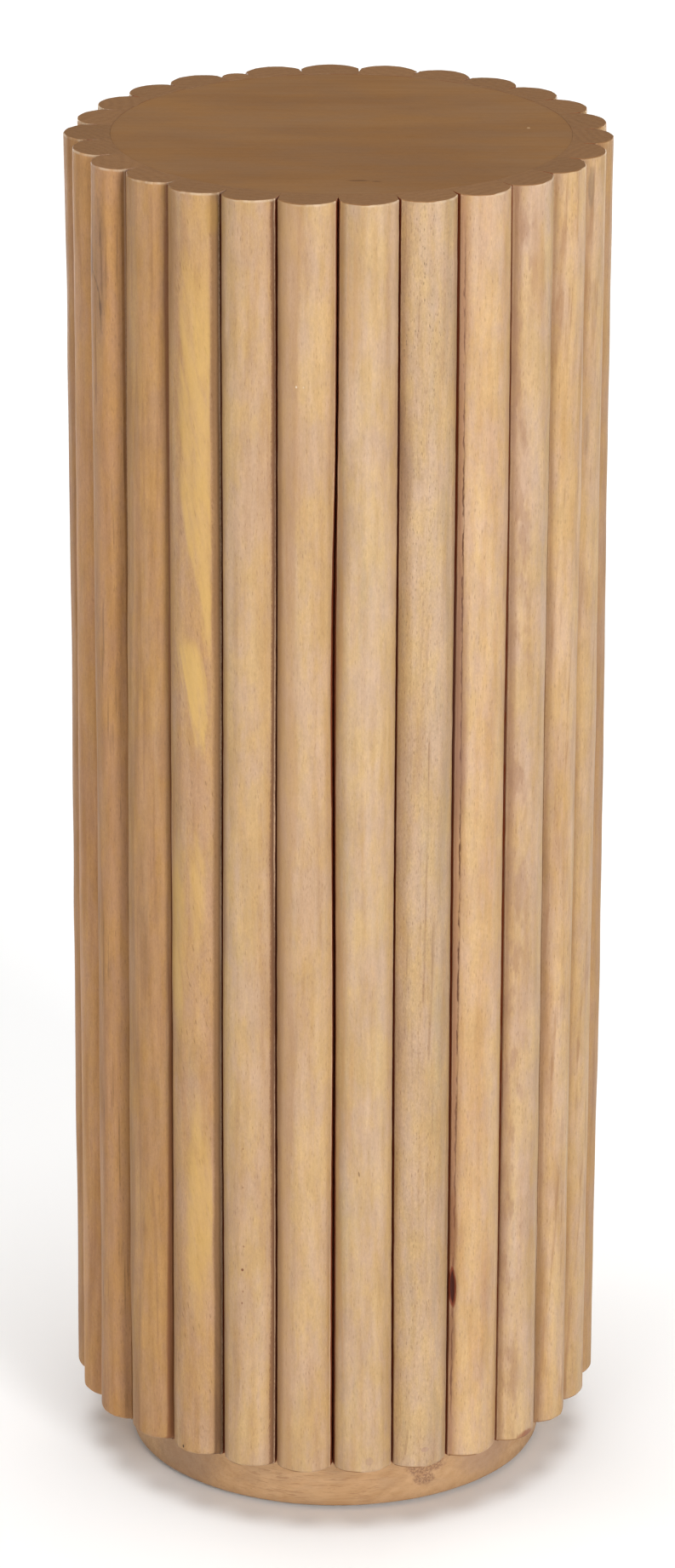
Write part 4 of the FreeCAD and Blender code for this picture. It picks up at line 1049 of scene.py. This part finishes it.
for k in range(1, SLATS + 1):
    name = f"slat_{k:02d}"
    angle = START + (k - 1) * PITCH
    rng = np.random.default_rng(3100 + k)
    shape = dict(facet=float(rng.uniform(0.25, 0.55)), foot_round=float(rng.uniform(2.2, 3.3)),
                 lift=float(rng.uniform(0.0, 0.35)))
    shape.update(SHAPES.get(k, {}))
    piece = slat(name + "_wood", angle, JOINTS[k - 1], JOINTS[k], joint_angle(k - 1), joint_angle(k), 5000 + 37 * k, **shape)
    look = dict(tone=BACK_TONES[(3 * k + 1) % len(BACK_TONES)], grey=float(rng.uniform(0.15, 0.55)),
                pores=float(rng.uniform(0.4, 0.7)), ring_size=float(rng.uniform(5.0, 8.0)),
                left=tuple((p, float(v)) for p, v in zip((0.0, 0.5, 1.0), rng.uniform(0.08, 0.40, 3))),
                right=tuple((p, float(v)) for p, v in zip((0.0, 0.5, 1.0), rng.uniform(0.08, 0.40, 3))))
    if k in LOOKS:
        look.update(left=DEFAULT, right=DEFAULT)
        look.update(LOOKS[k])
    look["arris"] = (arris_depth(-1, JOINTS[k - 1]), arris_depth(1, JOINTS[k]))
    piece.data.materials.append(slat_wood(name + "_wood", angle, 9000 + 11 * k, **look))
    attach(piece, "root")
    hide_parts(name)

close_angle = (joint_angle(SLATS) + joint_angle(0) + 360.0) / 2
piece = slat("closing_slat_wood", close_angle, JOINTS[SLATS], JOINTS[0], joint_angle(SLATS), joint_angle(0) + 360.0,
             7777, crest=138.0, facet=0.3, foot_round=2.0)
piece.data.materials.append(slat_wood("closing_slat_wood", close_angle, 9777, "honey", crest=138.0, arris=(0.49, 0.49)))
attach(piece, "root")
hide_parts("closing_slat")

# ---------------------------------------------------------------- the top disc
disc = [(0.0, 736.0)] + [(r, 736.0) for r in (20, 45, 70, 95, 115, 121.5)]
disc += [(r, z) for r, z in quarter(122.3, 736.8, 0.8, 270, 3)]
disc += [(123.24, 742.0), (123.24, 750.0), (123.24, 756.0)]
disc += [(r, z) for r, z in quarter(123.12, 759.86, 0.12, 0, 3)]
disc += [(r, 759.98) for r in (122.6, 121.8, 120, 117, 113, 108, 102, 95, 87, 78, 68, 57, 45, 32, 18, 8)] + [(0.0, 759.98)]
swell = Wander(611, 0.07, 150.0, 6, 0.0)
swell2 = Wander(612, 0.05, 60.0, 6, 0.0)


def settle(v):
    top = smooth(v[:, 2], 758.9, 759.9)
    dz = swell(v[:, 0]) * 0.5 + swell2(v[:, 1] * 1.3 + 0.2 * v[:, 0]) - 0.08
    v[:, 2] += np.clip(dz, -0.28, 0.0) * top * (1 - 0.8 * smooth(np.hypot(v[:, 0], v[:, 1]), 112.0, 122.0))
    return v


top = lathe("top_panel_wood", disc, 144, 40, settle)
top.data.materials.append(top_wood("top_panel_wood"))
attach(top, "root")
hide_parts("top_panel")

# ---------------------------------------------------------------- the plinth
foot = [(0.0, 2.0)] + [(r, 2.0) for r in (22, 44, 60, 78, 95, 108, 113.2)]
foot += quarter(114.6, 3.4, 1.4, 270, 4)
foot += [(116.0, float(h)) for h in np.linspace(4.4, 33.4, 30)]
foot += quarter(114.6, 34.6, 1.4, 0, 4)
foot += [(r, 36.0) for r in (112, 105, 92, 74, 52, 28)] + [(0.0, 36.0)]
turn = Wander(811, 0.10, 9.0, 5, 0.0)
flow = Wander(812, 0.16, 2.0, 4, 0.0)
pit_rng = np.random.default_rng(813)
pits = [(math.radians(27.3) + pit_rng.normal(0, 0.045), 17.0 + pit_rng.normal(0, 4.0), pit_rng.uniform(0.008, 0.016),
         pit_rng.uniform(0.6, 1.4), pit_rng.uniform(0.25, 0.6)) for _ in range(34)]


def turned(v):
    r = np.hypot(v[:, 0], v[:, 1])
    ang = np.arctan2(v[:, 0], -v[:, 1])
    side = smooth(r, 113.5, 115.5)
    edge = smooth(v[:, 2], 2.0, 6.0) * (1 - smooth(v[:, 2], 32.0, 36.0))
    wave = sum(0.06 * np.sin(n * ang + p) for n, p in ((3, 0.4), (7, 1.9), (12, 2.2), (19, 0.3)))
    dr = (turn(v[:, 2]) * edge * 0.7 + wave) * side - 0.12 * side
    for a, h, wa, wh, d in pits:
        dr -= side * d * np.exp(-((ang - a) / wa) ** 2 - ((v[:, 2] - h) / wh) ** 2)
    scale = np.where(r > 1e-6, (r + dr) / np.maximum(r, 1e-6), 1.0)
    v[:, 0] *= scale
    v[:, 1] *= scale
    return v


base = lathe("plinth_wood", foot, 420, 38, turned)
cutters = []
for i in range(4):
    a = math.radians(90 * i)
    hole = lathe(f"bore_{i}", [(0.0, -2.0), (5.5, -2.0), (5.5, 17.6)] + [(5.1, 18.0), (0.0, 18.0)], 40, 38)
    hole.location = (0.062 * math.sin(a), -0.062 * math.cos(a), 0.0)
    cutters.append(hole)
bpy.context.view_layer.update()
for hole in cutters:
    mod = base.modifiers.new("bore", "BOOLEAN")
    mod.operation = "DIFFERENCE"
    mod.solver = "EXACT"
    mod.object = hole
bpy.context.view_layer.update()
done = bpy.data.meshes.new_from_object(base.evaluated_get(bpy.context.evaluated_depsgraph_get()))
base.modifiers.clear()
old = base.data
base.data = done
bpy.data.meshes.remove(old)
for hole in cutters:
    data = hole.data
    bpy.data.objects.remove(hole)
    bpy.data.meshes.remove(data)
base.data.shade_smooth()
base.data.set_sharp_from_angle(angle=math.radians(38))
base.data.materials.clear()
base.data.materials.append(plinth_wood("plinth_wood"))
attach(base, "root")
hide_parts("plinth")

# ---------------------------------------------------------------- felt pads
verts, faces = [], []
fuzz = np.random.default_rng(77)
for i in range(4):
    a = math.radians(45 + 90 * i)
    cx, cy = 96 * math.sin(a), -96 * math.cos(a)
    prof = [(0.0, 0.0), (5.0, 0.0), (9.5, 0.0), (12.2, 0.0)] + quarter(12.45, 0.55, 0.55, 290, 2)[1:]
    prof += [(13.0, 1.3), (12.9, 2.0), (9.0, 2.0), (4.0, 2.0), (0.0, 2.0)]
    count = 48
    rows = []
    for r, h in prof:
        if r == 0.0:
            rows.append([len(verts)])
            verts.append((cx, cy, h))
        else:
            row = []
            for j in range(count):
                t = 2 * math.pi * j / count
                rr = r + (fuzz.normal(0, 0.07) if r > 11 else 0.0)
                row.append(len(verts))
                verts.append((cx + rr * math.sin(t), cy - rr * math.cos(t), h))
            rows.append(row)
    for lo, hi in zip(rows[:-1], rows[1:]):
        for j in range(count):
            k = (j + 1) % count
            if len(lo) == 1:
                faces.append((lo[0], hi[k], hi[j]))
            elif len(hi) == 1:
                faces.append((lo[j], lo[k], hi[0]))
            else:
                faces.append((lo[j], lo[k], hi[k], hi[j]))
pads = new_object("felt_pad_set", np.array(verts) * MM, faces, 45)
pads.data.materials.append(felt("felt_pad_set"))
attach(pads, "root")
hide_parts("felt_pads")

# ---------------------------------------------------------------- inner posts
verts, faces = [], []
for i in range(4):
    a = math.radians(90 * i)
    cx, cy = 88 * math.sin(a), -88 * math.cos(a)
    sway = Wander(900 + i, 0.10, 300.0, 4)
    ring = []
    for sx, sy, s0 in ((1, 1, 0), (-1, 1, 90), (-1, -1, 180), (1, -1, 270)):
        ring += [(sx * 10.4 + 1.5 * math.cos(math.radians(s0 + t)), sy * 10.4 + 1.5 * math.sin(math.radians(s0 + t)))
                 for t in (0, 30, 60, 90)]
    ring = np.array(ring)
    n = len(ring)
    zs = np.linspace(54, 718, 24)
    first = len(verts)
    for h in zs:
        d = min(0.0, float(sway(h)))
        for p in ring * (1 + d / 12.0):
            verts.append((cx + p[0], cy + p[1], h))
    for r in range(len(zs) - 1):
        for j in range(n):
            k = (j + 1) % n
            b = first + r * n
            faces.append((b + j, b + k, b + n + k, b + n + j))
    faces.append(tuple(first + j for j in range(n))[::-1])
    faces.append(tuple(first + (len(zs) - 1) * n + j for j in range(n)))
posts = new_object("inner_post_set", np.array(verts) * MM, faces, 35)
posts.data.materials.append(post_wood("inner_post_set"))
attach(posts, "root")
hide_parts("inner_post_right", "inner_post_back", "inner_post_left", "inner_post_front")

# ---------------------------------------------------------------- carried pieces
ply = plywood("rib_plywood")
steel = zinc("zinc_steel")
for name in ("upper_rib", "mid_rib_upper", "mid_rib_lower", "bottom_board"):
    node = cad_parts[name]
    node.data.materials.clear()
    node.data.materials.append(ply)
for name in ("top_panel_screws", "post_top_screws", "post_bottom_screws", "plinth_screws", "slat_brads"):
    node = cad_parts[name]
    node.data.materials.clear()
    node.data.materials.append(steel)

# ---------------------------------------------------------------- studio
ground = bpy.data.meshes.new("floor")
half = 20.0
ground.from_pydata([(-half, -half, 0), (half, -half, 0), (half, half, 0), (-half, half, 0)], [], [(0, 1, 2, 3)])
floor = bpy.data.objects.new("floor", ground)
scene.collection.objects.link(floor)
paper = Finish("floor_paper", 0.9, 0.1)
haze = paper.noise(paper.object, 3.0, 2.0)
paper.set("Base Color", paper.mix(haze, (0.96, 0.96, 0.958, 1), (0.945, 0.945, 0.943, 1)))
ground.materials.append(paper.mat)

rim_x, rim_y = np.cos(np.linspace(0, 2 * math.pi, 97)[:-1]), np.sin(np.linspace(0, 2 * math.pi, 97)[:-1])
wall = [(20 * a, 20 * b, h) for h in (-0.02, 16.0) for a, b in zip(rim_x, rim_y)]
sheet = bpy.data.meshes.new("backdrop")
sheet.from_pydata(wall, [], [(i, (i + 1) % 96, 96 + (i + 1) % 96, 96 + i) for i in range(96)])
backdrop = bpy.data.objects.new("backdrop", sheet)
scene.collection.objects.link(backdrop)
wash = Finish("backdrop_paper", 0.95, 0.0)
wash.set("Base Color", (0.02, 0.02, 0.02, 1))
wash.set("Emission Color", wash.mix(wash.noise(wash.object, 0.2, 2.0), (0.80, 0.80, 0.798, 1), (0.78, 0.78, 0.778, 1)))
wash.set("Emission Strength", 1.0)
sheet.materials.append(wash.mat)
backdrop.visible_diffuse = backdrop.visible_glossy = backdrop.visible_transmission = backdrop.visible_shadow = False

world = bpy.data.worlds.new("studio")
scene.world = world
world.use_nodes = True
world.node_tree.nodes["Background"].inputs["Color"].default_value = (1.0, 1.0, 1.0, 1)
world.node_tree.nodes["Background"].inputs["Strength"].default_value = 0.22


def sun(name, azimuth, elevation, strength, angle, colour=(1, 1, 1)):
    """A broad soft light. Azimuth 0 shines from the front, + from the right."""
    light = bpy.data.lights.new(name, "SUN")
    light.energy = strength
    light.angle = math.radians(angle)
    light.color = colour
    obj = bpy.data.objects.new(name, light)
    a, e = math.radians(azimuth), math.radians(elevation)
    toward = Vector((math.sin(a) * math.cos(e), -math.cos(a) * math.cos(e), math.sin(e)))
    obj.rotation_euler = toward.to_track_quat("Z", "Y").to_euler()
    scene.collection.objects.link(obj)


def panel(name, azimuth, distance, low, high, width, power):
    """A tall soft box that faces the column. Azimuth 0 stands in front, + to the right."""
    light = bpy.data.lights.new(name, "AREA")
    light.shape = "RECTANGLE"
    light.size = width
    light.size_y = high - low
    light.energy = power
    obj = bpy.data.objects.new(name, light)
    a = math.radians(azimuth)
    toward = Vector((math.sin(a), -math.cos(a), 0.0))
    obj.location = toward * distance + Vector((0, 0, (low + high) / 2))
    obj.rotation_euler = toward.to_track_quat("Z", "Y").to_euler()
    obj.visible_camera = False
    scene.collection.objects.link(obj)


panel("key", 26, 5.0, 0.1, 3.2, 1.2, 213)
panel("front_left", -24, 5.0, 0.1, 2.6, 1.6, 48)
panel("fill_left", -82, 5.0, 0.1, 2.6, 1.8, 38)
panel("back_left", -150, 5.0, 0.0, 1.3, 1.8, 80)
panel("back_right", 150, 5.0, 0.0, 1.3, 1.8, 80)
sun("overhead", 0, 88, 1.95, 40)

scene.view_settings.view_transform = "Standard"

# ---------------------------------------------------------------- camera
pitch, roll, yaw = 0.361007, 0.00483, 0.000213
forward = Vector((math.sin(yaw) * math.cos(pitch), math.cos(yaw) * math.cos(pitch), -math.sin(pitch)))
right = forward.cross(Vector((0, 0, 1))).normalized()
up = right.cross(forward)
right2 = math.cos(roll) * right + math.sin(roll) * up
up2 = -math.sin(roll) * right + math.cos(roll) * up
cam = bpy.data.cameras.new("camera")
cam.sensor_width = 36.0
cam.lens = 7659.337 * 36.0 / 1842.0
cam.clip_start = 0.05
cam.clip_end = 100.0
eye = bpy.data.objects.new("camera", cam)
rot = Matrix((right2, up2, -forward)).transposed().to_4x4()
eye.matrix_world = Matrix.Translation(Vector((-1.0466, -3373.849, 1662.361)) * MM) @ rot
scene.collection.objects.link(eye)
scene.camera = eye
